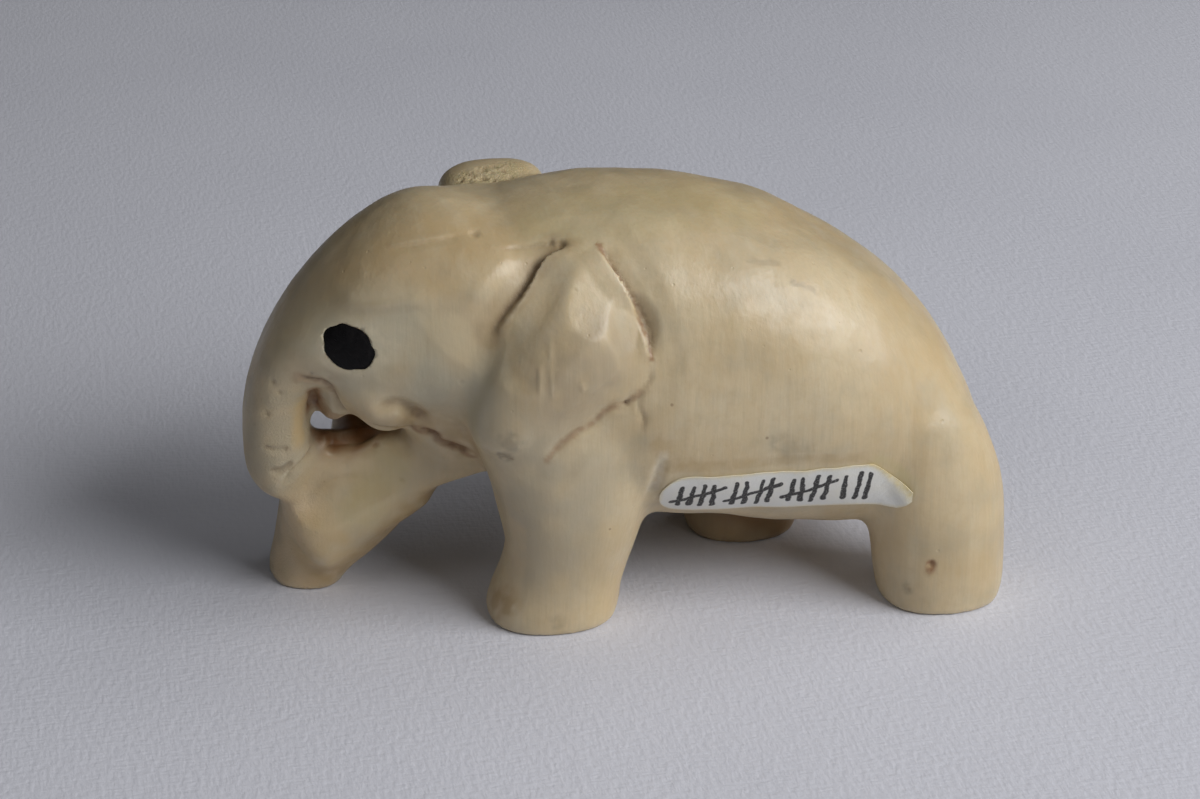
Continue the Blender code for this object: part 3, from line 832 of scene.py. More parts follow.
FAR_EAR_PATCH: Path = (
    (-13.9, 8.4, 36.5), (-11.7, 7.6, 36.8), (-10.6, 8.0, 37.0), (-9.5, 8.4, 37.2), (-8.2, 8.8, 37.3),
)
TOOL_MARKS: tuple[Path, ...] = (
    ((-8.6, -13.1, 31.0), (-8.6, -14.1, 24.2)),
    ((-9.7, -13.9, 28.3), (-9.6, -14.1, 25.1)),
    ((-6.1, -14.3, 26.7), (-5.9, -14.1, 25.3)),
)

STROKES = (
    Stroke(Cut.RIDGE, TEMPLE_EDGE, left=1.8, right=1.2, depth=0.22, fade=0.25),
    Stroke(Cut.RIDGE, EAR_FRONT, left=3.0, right=0.2, depth=0.45, fade=0.25),
    Stroke(Cut.RIDGE, EAR_BACK, left=0.2, right=2.2, depth=0.4, fade=0.15),
    Stroke(Cut.KNIFE, EAR_FRONT, left=0.4, right=2.4, depth=0.42, fade=0.25, dirt=0.22),
    Stroke(Cut.KNIFE, EAR_BACK, left=1.5, right=0.35, depth=0.38, fade=0.12, dirt=0.3),
    Stroke(Cut.KNIFE, EAR_FOOT, left=0.9, right=1.1, depth=0.3, fade=0.15, dirt=0.4),
    Stroke(Cut.KNIFE, EAR_TIP, left=0.4, right=0.5, depth=0.16, fade=0.2, dirt=0.3),
    Stroke(Cut.KNIFE, EAR_SHELF, left=1.2, right=0.3, depth=0.2, fade=0.25, dirt=0.25),
    Stroke(Cut.KNIFE, BROW, left=0.3, right=0.8, depth=0.2, fade=0.35, dirt=0.12),
    Stroke(Cut.RIDGE, BROW, left=1.0, right=0.3, depth=0.08, fade=0.35),
    Stroke(Cut.KNIFE, MOUTH_LINE, left=0.6, right=0.35, depth=0.35, fade=0.25, dirt=0.45),
    Stroke(Cut.KNIFE, LIP_BACK, left=0.35, right=0.9, depth=0.5, fade=0.15, dirt=0.7),
    Stroke(Cut.KNIFE, TRUNK_SLIT, left=0.4, right=0.4, depth=0.9, fade=0.1, dirt=1.0),
    Stroke(Cut.KNIFE, NOSTRIL, left=0.35, right=0.45, depth=0.25, fade=0.2, dirt=0.6),
    Stroke(Cut.GOUGE, TRUNK_TIP, left=0.6, right=0.6, depth=0.3, fade=0.3, dirt=0.7),
    Stroke(Cut.KNIFE, TRUNK_FOLD, left=1.2, right=0.5, depth=0.5, fade=0.2, dirt=0.5),
    Stroke(Cut.KNIFE, CHEEK_EDGE, left=0.3, right=0.8, depth=0.4, fade=0.15, dirt=0.5),
    Stroke(Cut.GOUGE, CHEEK_ARCH, left=1.3, right=1.0, depth=0.45, fade=0.25, dirt=0.2),
    Stroke(Cut.KNIFE, THROAT_CREASE, left=0.5, right=0.6, depth=0.4, fade=0.15, dirt=0.9),
    Stroke(Cut.GOUGE, FORELEG_DISH, left=1.5, right=1.5, depth=0.8, fade=0.15),
    Stroke(Cut.GOUGE, LEG_CREASE, left=1.0, right=0.8, depth=0.3, fade=0.3, dirt=0.2),
    *(Stroke(Cut.RIDGE, mark, left=0.3, right=0.3, depth=0.09, fade=0.3) for mark in TOOL_MARKS),
)

FLATS = (
    Shave(at=(-22.5, -8.6, 29.0), facing=(-0.22, -0.97, 0.08), reach=6.5, drop=0.25),
    Shave(at=(-17.0, -10.0, 29.0), facing=(-0.1, -0.97, 0.2), reach=5.0, drop=0.2),
    Shave(at=(-5.0, -12.2, 32.4), facing=(0.1, -0.8, 0.58), reach=3.6, drop=0.3),
    Shave(at=(-2.2, -12.4, 30.6), facing=(0.55, -0.74, 0.38), reach=3.2, drop=0.35),
    Shave(at=(-14.0, -3.0, 13.0), facing=(0.3, -0.15, -0.93), reach=6.0, drop=0.3),
    Shave(at=(-25.5, -2.0, 10.0), facing=(-0.2, -0.9, 0.3), reach=7.0, drop=0.3),
)

PORES = (
    Pore((-13.9, -5.8, 37.4), 0.6, 0.2, 0.3),
    Pore((-2.8, -9.7, 34.8), 0.4, 0.3, 1.0),
    Pore((-2.0, -12.6, 23.6), 0.45, 0.3, 1.0),
    Pore((-6.7, -7.5, 36.6), 0.5, 0.25, 0.5),
    Pore((-7.6, -7.1, 36.6), 0.4, 0.2, 0.4),
    Pore((-6.9, -8.0, 36.1), 0.35, 0.25, 0.9),
    Pore((-12.5, -11.9, 18.8), 0.32, 0.12, 0.8),
    Pore((-13.0, -12.1, 19.2), 0.28, 0.12, 0.7),
    Pore((-11.9, -12.0, 18.7), 0.28, 0.12, 0.9),
    Pore((-11.9, -12.1, 18.1), 0.3, 0.12, 0.95),
    Pore((-15.9, -9.9, 25.4), 0.25, 0.1, 0.4),
    Pore((-28.5, -6.1, 25.4), 0.32, 0.15, 0.6),
    Pore((-31.6, -4.5, 24.2), 0.4, 0.15, 0.5),
    Pore((-31.1, -4.7, 23.2), 0.35, 0.15, 0.4),
    Pore((-32.3, -4.0, 20.9), 0.4, 0.15, 0.5),
    Pore((-27.0, -6.6, 25.0), 0.3, 0.12, 0.4),
    Pore((25.9, -13.3, 5.5), 0.5, 0.25, 1.0),
    Pore((24.0, -12.4, 2.6), 0.35, 0.12, 0.5),
    Pore((-25.7, -1.9, 15.3), 0.4, 0.15, 0.7),
    Pore((-22.6, -1.7, 16.0), 0.4, 0.2, 0.6),
    Pore((-23.7, -2.7, 12.3), 0.35, 0.12, 0.4),
    Pore((-20.5, -2.9, 12.9), 0.35, 0.12, 0.5),
)

GREEN_GREY: Colour = (0.47, 0.435, 0.32)
WARM_CREAM: Colour = (0.60, 0.46, 0.27)
RUST: Colour = (0.27, 0.125, 0.05)
HONEY_BROWN: Colour = (0.40, 0.265, 0.115)
AMBER: Colour = (0.56, 0.40, 0.19)
CHALK: Colour = (0.64, 0.58, 0.46)
LICHEN: Colour = (0.50, 0.42, 0.21)
SOOT: Colour = (0.17, 0.14, 0.10)
# Painted shade: a dull brown for hollows and faces that lie in shade.
PAINTED_SHADE_BROWN: Colour = (0.42, 0.31, 0.18)
ASH: Colour = (0.40, 0.345, 0.24)
PALE_ASH: Colour = (0.43, 0.375, 0.27)
# Painted shade: a dull honey for a face turned away from the light.
PAINTED_SHADE_HONEY: Colour = (0.40, 0.32, 0.21)
# Painted light: a bright cream that stands in for light falling on a face.
PAINTED_LIGHT_CREAM: Colour = (0.72, 0.55, 0.34)
# Painted shade: a deep rust for shaded hollows, warmed as if lit through the bone.
PAINTED_SHADE_RUST: Colour = (0.25, 0.10, 0.03)
# Painted shade: a deep brown for parts that lie in shadow under the body.
PAINTED_SHADE_DEEP_BROWN: Colour = (0.24, 0.13, 0.045)

# Real staining, with painted shade in the hollows, the grooves and under the body, and painted light on the far
# foreleg, among it.
STAINS_AND_SHADING = (
    StainAndShading(((-30.5, -5.2, 25.0), (-31.8, -4.2, 19.0), (-31.5, -3.8, 15.5)), 4.5, ASH, 0.6, 0.4, 2.2),
    StainAndShading(((-8.5, -13.2, 18.0), (-8.0, -12.3, 9.0)), 7.0, PALE_ASH, 0.6, 0.35, 3.5),
    StainAndShading(((-26.0, -8.0, 29.0), (-20.0, -9.4, 28.0), (-16.5, -9.8, 25.0)), 6.5, GREEN_GREY, 0.7, 0.25, 5.0),
    StainAndShading(((-14.2, -10.3, 31.0), (-15.6, -10.0, 28.0)), 2.6, WARM_CREAM, 0.5, 0.3, 3.0),
    StainAndShading(((-26.0, -5.5, 33.5), (-21.0, -6.5, 36.0), (-15.0, -6.0, 37.2)), 4.5, HONEY_BROWN, 0.3, 0.3, 5.0),
    StainAndShading(((-6.5, -5.0, 38.0), (2.0, -4.0, 38.6), (8.0, -3.0, 38.0)), 5.0, LICHEN, 0.3, 0.4, 4.0),
    StainAndShading(EAR_BACK, 0.4, RUST, 0.7, 0.5, 0.8),
    # Painted shade: brown laid in the groove before the ear and on its temple side, where the valley lies in
    # shade.
    StainAndShading(EAR_FRONT, 1.0, HONEY_BROWN, 0.35, 0.5, 1.0),
    StainAndShading(
        ((-7.2, -7.2, 36.0), (-9.6, -8.4, 34.0), (-12.0, -9.6, 32.0), (-13.6, -10.2, 30.0)),
        1.6, PAINTED_SHADE_BROWN, 0.55, 0.4, 1.5,
    ),
    StainAndShading(EAR_FOOT, 0.5, RUST, 0.4, 0.6, 0.8),
    # Painted shade: honey brown on the ear's lower face, which faces down into shade.
    StainAndShading(((-4.6, -13.8, 28.6), (-7.5, -14.2, 25.5)), 4.6, PAINTED_SHADE_HONEY, 0.75, 0.35, 2.2),
    StainAndShading(MOUTH_LINE, 0.8, RUST, 0.35, 0.5, 0.9),
    StainAndShading(TRUNK_SLIT, 0.8, RUST, 0.8, 0.2, 0.9),
    StainAndShading(((-29.2, -5.6, 26.0), (-27.0, -6.6, 26.0)), 1.8, RUST, 0.14, 0.5, 1.5),
    StainAndShading(((-28.9, -4.4, 21.5), (-29.2, -3.9, 18.0)), 1.2, AMBER, 0.7, 0.4, 1.2),
    # Painted shade: deep rust in the dish and in the hollow between the cheek, chest and far foreleg, which lie
    # in shadow.
    StainAndShading(FORELEG_DISH, 2.1, PAINTED_SHADE_RUST, 0.9, 0.25, 1.5),
    StainAndShading(((-25.2, 2.4, 16.4), (-22.5, 3.0, 16.0)), 3.0, PAINTED_SHADE_RUST, 0.9, 0.2, 2.0),
    StainAndShading(((-28.4, -1.5, 16.2), (-30.0, -3.5, 14.8)), 1.6, GREEN_GREY, 0.5, 0.5, 1.5),
    # Painted shade: rust under the chin, where the throat lies in shade.
    StainAndShading(((-25.5, -0.5, 22.0), (-22.5, 0.0, 19.5)), 3.2, RUST, 0.6, 0.3, 2.0),
    # Painted shade: brown along the cheek's lower edge, where shadow falls beneath the cheek.
    StainAndShading(((-21.0, -5.8, 19.6), (-17.5, -5.0, 18.8), (-15.0, -4.8, 16.8)), 1.8, HONEY_BROWN, 0.5, 0.5, 1.5),
    StainAndShading(THROAT_CREASE, 0.7, RUST, 0.6, 0.5, 0.9),
    # Painted shade: the cheek's bump darkened with brown so that it stands out less brightly.
    StainAndShading(((-23.0, -6.8, 21.0), (-20.0, -6.2, 20.4)), 2.4, PAINTED_SHADE_BROWN, 0.5, 0.4, 1.5),
    # Painted light: the lower front plane of the far foreleg made paler to stand in for light from the left.
    StainAndShading(((-30.6, -0.5, 9.0), (-31.0, 2.0, 4.0), (-30.6, 2.6, 1.5)), 4.2, PAINTED_LIGHT_CREAM, 0.75, 0.3, 2.2),
    StainAndShading(((-29.0, 0.0, 4.6), (-26.7, -0.8, 5.3), (-28.0, -1.3, 7.5)), 2.8, AMBER, 0.55, 0.5, 2.0),
    StainAndShading(((-28.4, -2.3, 13.5), (-28.8, -2.4, 15.0), (-25.0, -2.0, 14.5)), 2.2, WARM_CREAM, 0.5, 0.4, 1.8),
    StainAndShading(((-22.0, -2.6, 14.0), (-24.0, -2.4, 10.0)), 2.8, LICHEN, 0.4, 0.4, 2.4),
    # Painted shade: brown along the shadow core of the far foreleg's back edge.
    StainAndShading(
        ((-16.4, -1.0, 11.4), (-20.5, -0.8, 8.4), (-23.5, 0.3, 4.2), (-27.5, 0.8, 1.6)),
        2.4, HONEY_BROWN, 0.7, 0.3, 1.6,
    ),
    StainAndShading(((-11.8, -9.1, 3.2), (-12.4, -7.5, 2.0)), 1.6, HONEY_BROWN, 0.7, 0.6, 1.0),
    StainAndShading(((-12.2, -10.4, 10.0), (-12.4, -9.4, 5.0)), 1.8, WARM_CREAM, 0.5, 0.4, 1.6),
    StainAndShading(((25.9, -13.3, 5.5), (25.8, -13.4, 4.9)), 0.6, RUST, 0.9, 0.3, 0.6),
    StainAndShading(((24.0, -12.4, 2.6),), 0.8, SOOT, 0.4, 0.4, 0.7),
    StainAndShading(((-7.8, -11.0, 1.6),), 1.0, SOOT, 0.3, 0.5, 0.8),
    StainAndShading(((-12.2, -13.1, 20.6),), 1.5, SOOT, 0.4, 0.7, 0.8),
    StainAndShading(((-12.6, -12.0, 18.9),), 1.0, SOOT, 0.5, 0.7, 0.5),
    StainAndShading(((9.5, -9.3, 34.6), (12.0, -9.1, 34.2)), 0.5, SOOT, 0.22, 0.8, 0.6),
    StainAndShading(((13.2, -10.2, 32.7), (14.9, -10.2, 31.8)), 0.45, SOOT, 0.35, 0.8, 0.5),
    StainAndShading(((11.4, -13.8, 19.0), (13.6, -13.6, 18.0)), 1.3, SOOT, 0.25, 0.8, 1.0),
    StainAndShading(((1.2, -13.0, 19.5), (3.2, -13.6, 17.6)), 1.4, HONEY_BROWN, 0.4, 0.6, 1.2),
    StainAndShading(
        ((2.0, -12.8, 16.9), (8.0, -13.2, 17.1), (14.0, -13.4, 17.2), (19.0, -13.3, 17.0)),
        0.7, HONEY_BROWN, 0.35, 0.6, 1.2,
    ),
    StainAndShading(((20.5, -13.0, 16.2), (23.8, -12.7, 13.4)), 1.2, LICHEN, 0.5, 0.5, 1.2),
    StainAndShading(((1.2, -12.9, 18.4), (0.6, -11.6, 14.5)), 0.7, CHALK, 0.5, 0.5, 0.8),
    StainAndShading(((24.0, -8.0, 30.0), (29.0, -8.0, 22.0), (31.5, -8.0, 14.0)), 5.0, AMBER, 0.35, 0.4, 4.0),
    StainAndShading(((-4.0, -10.0, 10.0), (-3.0, -9.6, 3.0)), 3.0, AMBER, 0.3, 0.4, 3.0),
    # Painted shade: the far rear leg, seen in shadow under the belly, darkened to a deep brown.
    StainAndShading(((9.0, 9.0, 7.0), (14.0, 9.0, 4.0)), 6.5, PAINTED_SHADE_DEEP_BROWN, 0.9, 0.2, 4.0),
    # Painted shade: rust on the belly's underside and the inner legs, where shadow falls under the belly.
    StainAndShading(((8.0, -4.0, 8.5), (16.0, -4.0, 8.5)), 4.0, RUST, 0.5, 0.3, 3.0),
    StainAndShading(FAR_EAR_PATCH, 1.6, LICHEN, 0.45, 0.6, 0.8),
)


@dataclass
class CarvedBody:
    """The body of the carving: one piece of bone, with a socket for each eye."""

    voxel: float = 0.25
    triangles: int = 186000
    undulation: float = 0.13
    undulation_size: float = 10.0
    scraping: float = 0.016
    scraping_size: float = 2.6
    rough_patch: float = 0.36
    levelled: float = 3.2
    level_turns: int = 220
    name: str = "bone_body"
    tree: BVHTree = field(init=False)

    def build(self, eyes: list["EyeInlay"]) -> bpy.types.Object:
        """Carves, pierces, dresses and hangs the body.

        Args:
            eyes: The eye plugs, whose sockets are cut.

        Returns:
            The finished object.
        """
        mesh = self.blank(eyes)
        skin = Skin(mesh)
        self.carve(skin)
        skin.write()
        body = bpy.data.objects.new(self.name, mesh)
        bpy.context.scene.collection.objects.link(body)
        self.apply(body, self.thinner(body))
        self.tree = skin_tree(body)
        for eye in eyes:
            self.pierce(body, eye)
        self.tidy(body)
        self.paint(Skin(body.data))
        body.data.shade_smooth()
        body.data.materials.clear()
        body.data.materials.append(BoneFinish().build())
        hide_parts("carved_body")
        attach(body, "root")
        return body

    def blank(self, eyes: list["EyeInlay"]) -> bpy.types.Mesh:
        """The CAD body as one fine even skin, with its eye sockets closed.

        Args:
            eyes: The eye plugs, which say where the sockets are.

        Returns:
            The mesh to carve.
        """
        bm = bmesh.new()
        bm.from_mesh(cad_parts["carved_body"].data)
        bmesh.ops.remove_doubles(bm, verts=bm.verts, dist=1e-7)
        for eye in eyes:
            inside = [face for face in bm.faces if all(eye.holds(vert.co) for vert in face.verts)]
            bmesh.ops.delete(bm, geom=inside, context="FACES")
        bmesh.ops.holes_fill(bm, edges=[edge for edge in bm.edges if edge.is_boundary])
        bmesh.ops.triangulate(bm, faces=bm.faces)
        bmesh.ops.recalc_face_normals(bm, faces=bm.faces)
        mesh = bpy.data.meshes.new("blank")
        bm.to_mesh(mesh)
        bm.free()
        blank = bpy.data.objects.new("blank", mesh)
        bpy.context.scene.collection.objects.link(blank)
        grid = blank.modifiers.new("grid", "REMESH")
        grid.mode = "VOXEL"
        grid.voxel_size = self.voxel * MM
        self.apply(blank, grid)
        result = blank.data
        bpy.data.objects.remove(blank)
        return result

    def carve(self, skin: Skin) -> None:
        """Works the skin over with scrapers, files and knives."""
        skin.ease(10)
        skin.level((EAR_FRONT, EAR_FRONT_FACE, EAR_BACK, EAR_FOOT), self.levelled, self.level_turns)
        away = 1 - np.exp(-((skin.points[:, 2] / 1.2) ** 2))
        normals = skin.normals()
        for size, seed, depth in (
            (self.undulation_size, 3, self.undulation), (self.scraping_size, 5, self.scraping)
        ):
            skin.points += normals * (waves(skin.points, size, seed) * depth * away)[:, None]
        for flat in FLATS:
            skin.shave(flat)
        skin.ease(3)
        normals = skin.eased(skin.normals(), 4)
        for stroke in STROKES:
            skin.cut(stroke, normals)
        for pore in PORES:
            skin.chip(pore, normals)
        self.break_up(skin, normals)

    def break_up(self, skin: Skin, normals: np.ndarray) -> None:
        """Opens the spongy core of the bone on top of the far ear."""
        found = skin.near(FAR_EAR_PATCH, 1.7, normals)
        sponge = np.maximum(waves(skin.points[found.rows], 0.55, 11), 0) ** 1.5
        hold = (1 - (found.distance / 1.7) ** 2) * run_out(found.along, 0.2)
        skin.points[found.rows] -= normals[found.rows] * (sponge * hold * self.rough_patch)[:, None]

    def thinner(self, body: bpy.types.Object) -> bpy.types.Modifier:
        """A collapse that keeps the creases and brings the count under the limit."""
        count = sum(len(face.vertices) - 2 for face in body.data.polygons)
        thin = body.modifiers.new("thin", "DECIMATE")
        thin.ratio = min(1.0, self.triangles / count)
        thin.use_collapse_triangulate = True
        return thin

    def pierce(self, body: bpy.types.Object, eye: "EyeInlay") -> None:
        """Cuts the socket of one eye."""
        cutter = eye.cutter()
        socket = body.modifiers.new("socket", "BOOLEAN")
        socket.operation = "DIFFERENCE"
        socket.solver = "EXACT"
        socket.object = cutter
        self.apply(body, socket)
        bpy.data.objects.remove(cutter)

    def apply(self, item: bpy.types.Object, modifier: bpy.types.Modifier) -> None:
        """Makes a modifier's result the mesh of its object."""
        graph = bpy.context.evaluated_depsgraph_get()
        result = bpy.data.meshes.new_from_object(item.evaluated_get(graph))
        item.modifiers.remove(modifier)
        old = item.data
        item.data = result
        bpy.data.meshes.remove(old)

    def tidy(self, body: bpy.types.Object) -> None:
        """Merges what the cuts left double and splits larger faces into triangles."""
        bm = bmesh.new()
        bm.from_mesh(body.data)
        bmesh.ops.dissolve_degenerate(bm, edges=bm.edges, dist=1e-7)
        bmesh.ops.triangulate(bm, faces=[face for face in bm.faces if len(face.verts) > 3])
        bm.to_mesh(body.data)
        bm.free()

    def paint(self, skin: Skin) -> None:
        """Paints dirt, wear, roughness, staining and the painted shade and painted light on the skin as
        attributes.
        """
        normals = skin.normals()
        smooth = skin.eased(skin.points, 24)
        hollow = ((smooth - skin.points) * normals).sum(axis=1)
        dirt = np.clip(hollow / 0.16 - 0.15, 0, 1) ** 1.2 * 0.4
        wear = np.clip(-hollow / 0.16 - 0.3, 0, 1) * 0.7
        for stroke in STROKES:
            if stroke.dirt <= 0:
                continue
            found = skin.near(stroke.path, 0.55, normals)
            line = np.exp(-((found.distance / 0.2) ** 2)) * run_out(found.along, stroke.fade * 0.7)
            uneven = 0.75 + 0.35 * waves(skin.points[found.rows], 1.3, 17)
            dirt[found.rows] = np.maximum(dirt[found.rows], line * stroke.dirt * np.clip(uneven, 0, 1))
        for pore in PORES:
            rows, distance = skin.spot(pore.at, pore.radius * 1.2)
            dirt[rows] = np.maximum(dirt[rows], pore.dark * np.exp(-((distance / (0.5 * pore.radius)) ** 2)))
        rough = np.zeros(len(skin.points))
        found = skin.near(FAR_EAR_PATCH, 2.0, normals)
        rough[found.rows] = 1 - (found.distance / 2.0) ** 2
        rough = np.maximum(rough, np.clip(dirt, 0, 1) * 0.7)
        trunk = np.clip((-26.5 - skin.points[:, 0]) / 3, 0, 1) * np.clip((26 - skin.points[:, 2]) / 4, 0, 1)
        rough = np.maximum(rough, trunk * 0.7)
        colour, share = self.stains_and_shading(skin, normals)
        self.attribute(skin.mesh, "dirt", np.clip(dirt, 0, 1))
        self.attribute(skin.mesh, "wear", wear)
        self.attribute(skin.mesh, "rough", rough)
        self.attribute(skin.mesh, "stain_and_shading_share", share)
        layer = skin.mesh.attributes.new("stain_and_shading", "FLOAT_COLOR", "POINT")
        layer.data.foreach_set("color", np.column_stack([colour, np.ones(len(colour))]).ravel())

    def stains_and_shading(self, skin: Skin, normals: np.ndarray) -> tuple[np.ndarray, np.ndarray]:
        """Lays the staining, painted shade and painted light over each other.

        Args:
            skin: The skin to paint.
            normals: Outward directions at all points.

        Returns:
            The colour of the staining and painted shade and light at each point, and how much of it covers the
            bone.
        """
        colour = np.tile(np.array(STAINS_AND_SHADING[0].colour), (len(skin.points), 1))
        share = np.zeros(len(skin.points))
        for number, stain_and_shading in enumerate(STAINS_AND_SHADING):
            path = stain_and_shading.path if len(stain_and_shading.path) > 1 else (stain_and_shading.path[0], stain_and_shading.path[0])
            found = skin.near(path, stain_and_shading.radius, normals)
            edge = found.distance / stain_and_shading.radius
            uneven = 1 + stain_and_shading.broken * waves(skin.points[found.rows], stain_and_shading.grain, 40 + number)
            hold = np.clip((1 - edge**2) * uneven, 0, 1) * stain_and_shading.share
            before = share[found.rows]
            after = hold + before * (1 - hold)
            part = (hold / np.maximum(after, 1e-6))[:, None]
            colour[found.rows] = colour[found.rows] * (1 - part) + np.array(stain_and_shading.colour) * part
            share[found.rows] = after
        return colour, share

    @staticmethod
    def attribute(mesh: bpy.types.Mesh, name: str, values: np.ndarray) -> None:
        """Writes one value per point of the mesh."""
        mesh.attributes.new(name, "FLOAT", "POINT").data.foreach_set("value", values.astype(np.float32))


@dataclass
class EyeInlay:
    """A black plug, cut by hand, so its outline is a worn polygon rather than a circle."""

    side: Side
    turn: float = math.radians(14)
    sides: int = 44
    stretch: float = 1.08
    lean: float = math.radians(-35)
    clearance: float = 0.035 * MM
    depth: float = 2.2 * MM
    dome: float = 0.22 * MM
    proud: float = 0.02 * MM
    socket_gap: float = 0.25 * MM
    face_rings: tuple[float, ...] = (0.05, 0.08, 0.2, 0.3, 0.4, 0.5)
    rim_drop: float = 0.12 * MM
    crease: float = math.radians(40)
    waver: tuple[tuple[float, int, float], ...] = ((0.030, 7, 0.6), (0.022, 4, 2.1), (0.012, 11, 0.0))
    place: Matrix = field(init=False)
    radius: float = field(init=False)

    def __post_init__(self) -> None:
        """Reads the plug's place and size from its CAD node."""
        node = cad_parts[self.node]
        out = Vector((-math.sin(self.turn), self.side.value * math.cos(self.turn), 0))
        up = Vector((0, 0, 1))
        across = up.cross(out)
        spans = []
        for axis in (across, up, out):
            reach = [axis.dot(vert.co) for vert in node.data.vertices]
            spans.append((min(reach), max(reach)))
        middle = [(low + high) / 2 for low, high in spans[:2]]
        face = spans[2][1]
        origin = across * middle[0] + up * middle[1] + out * face
        self.radius = (spans[1][1] - spans[1][0]) / 2
        self.place = Matrix.Translation(origin) @ Matrix((across, up, out)).transposed().to_4x4()

    @property
    def node(self) -> str:
        """The CAD node that the plug stands for."""
        return f"{self.side.name.lower()}_eye_inlay"

    def holds(self, point: Vector) -> bool:
        """Whether a point of the CAD body is on the wall or floor of this eye's socket."""
        local = self.place.inverted() @ point
        near_axis = math.hypot(local.x, local.y) < self.radius * 1.04
        return near_axis and -3 * self.depth < local.z < self.depth

    def outline(self, bm: bmesh.types.BMesh, spare: float) -> list[bmesh.types.BMVert]:
        """The worn outline of the plug, flat in its own place.

        Args:
            bm: Where the outline is laid.
            spare: How far the outline stands outside the plug.

        Returns:
            The vertices of the outline.
        """
        ring = bmesh.ops.create_circle(bm, cap_ends=True, radius=1.0, segments=self.sides)["verts"]
        mirror = -self.side.value
        for vert in ring:
            angle = math.atan2(vert.co.y, vert.co.x)
            cut = sum(size * math.cos(turns * angle + start) for size, turns, start in self.waver)
            reach = self.radius * (1 + cut) + spare
            leaned = angle - self.lean
            x, y = math.cos(leaned) * self.stretch * reach, math.sin(leaned) / self.stretch * reach
            turned_x = x * math.cos(self.lean) - y * math.sin(self.lean)
            turned_y = x * math.sin(self.lean) + y * math.cos(self.lean)
            vert.co = Vector((turned_x * mirror, turned_y, 0))
        return ring

    def cutter(self) -> bpy.types.Object:
        """A straight tool that cuts the socket, standing well clear of the skin."""
        bm = bmesh.new()
        self.outline(bm, self.clearance)
        bmesh.ops.translate(bm, verts=bm.verts, vec=(0, 0, self.radius))
        depth = self.radius + self.depth + self.socket_gap
        sole = bmesh.ops.extrude_face_region(bm, geom=bm.faces[:])["geom"]
        moved = [item for item in sole if isinstance(item, bmesh.types.BMVert)]
        bmesh.ops.translate(bm, verts=moved, vec=(0, 0, -depth))
        bmesh.ops.transform(bm, matrix=self.place, verts=bm.verts)
        bmesh.ops.recalc_face_normals(bm, faces=bm.faces)
        return finished(bm, "socket tool")

    def build(self, finish: bpy.types.Material, tree: BVHTree) -> bpy.types.Object:
        """Shapes the plug and sets it in its socket.

        Args:
            finish: The black material.
            tree: The uncut skin, which the face of the plug follows.

        Returns:
            The finished object.
        """
        bm = bmesh.new()
        self.outline(bm, 0.0)
        face = bm.faces[:]
        sole = bmesh.ops.extrude_face_region(bm, geom=face)["geom"]
        moved = [item for item in sole if isinstance(item, bmesh.types.BMVert)]
        bmesh.ops.translate(bm, verts=moved, vec=(0, 0, -self.depth))
        bm.faces.ensure_lookup_table()
        top = max(bm.faces, key=lambda item: item.calc_center_median().z if len(item.verts) > 4 else -1)
        for inset in self.face_rings:
            bmesh.ops.inset_region(bm, faces=[top], thickness=inset * MM, use_even_offset=True)
        bmesh.ops.poke(bm, faces=[top])
        rim = self.radius
        for vert in bm.verts:
            if vert.co.z < -self.depth / 2:
                continue
            distance = vert.co.to_2d().length
            edge = min(1.0, distance / rim)
            vert.co.z = self.dome * (1 - edge**2) - (self.rim_drop if distance > rim * 0.97 else 0.0)
        bmesh.ops.transform(bm, matrix=self.place, verts=bm.verts)
        self.seat(bm, tree)
        bmesh.ops.recalc_face_normals(bm, faces=bm.faces)
        plug = finished(bm, f"{self.side.name.lower()}_eye_plug")
        for polygon in plug.data.polygons:
            polygon.use_smooth = True
        plug.data.set_sharp_from_angle(angle=self.crease)
        plug.data.materials.append(finish)
        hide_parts(self.node)
        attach(plug, "root")
        return plug

    def seat(self, bm: bmesh.types.BMesh, tree: BVHTree) -> None:
        """Sinks the plug until its face stands just proud of the skin all round."""
        out = (self.place.to_3x3() @ Vector((0, 0, 1))).normalized()
        for vert in bm.verts:
            local = self.place.inverted() @ vert.co
            if local.z > -self.depth / 2:
                start = vert.co + out * self.radius * 4
                found, _, _, _ = tree.ray_cast(start, -out)
                if found is not None:
                    vert.co = found + out * (local.z + self.proud)


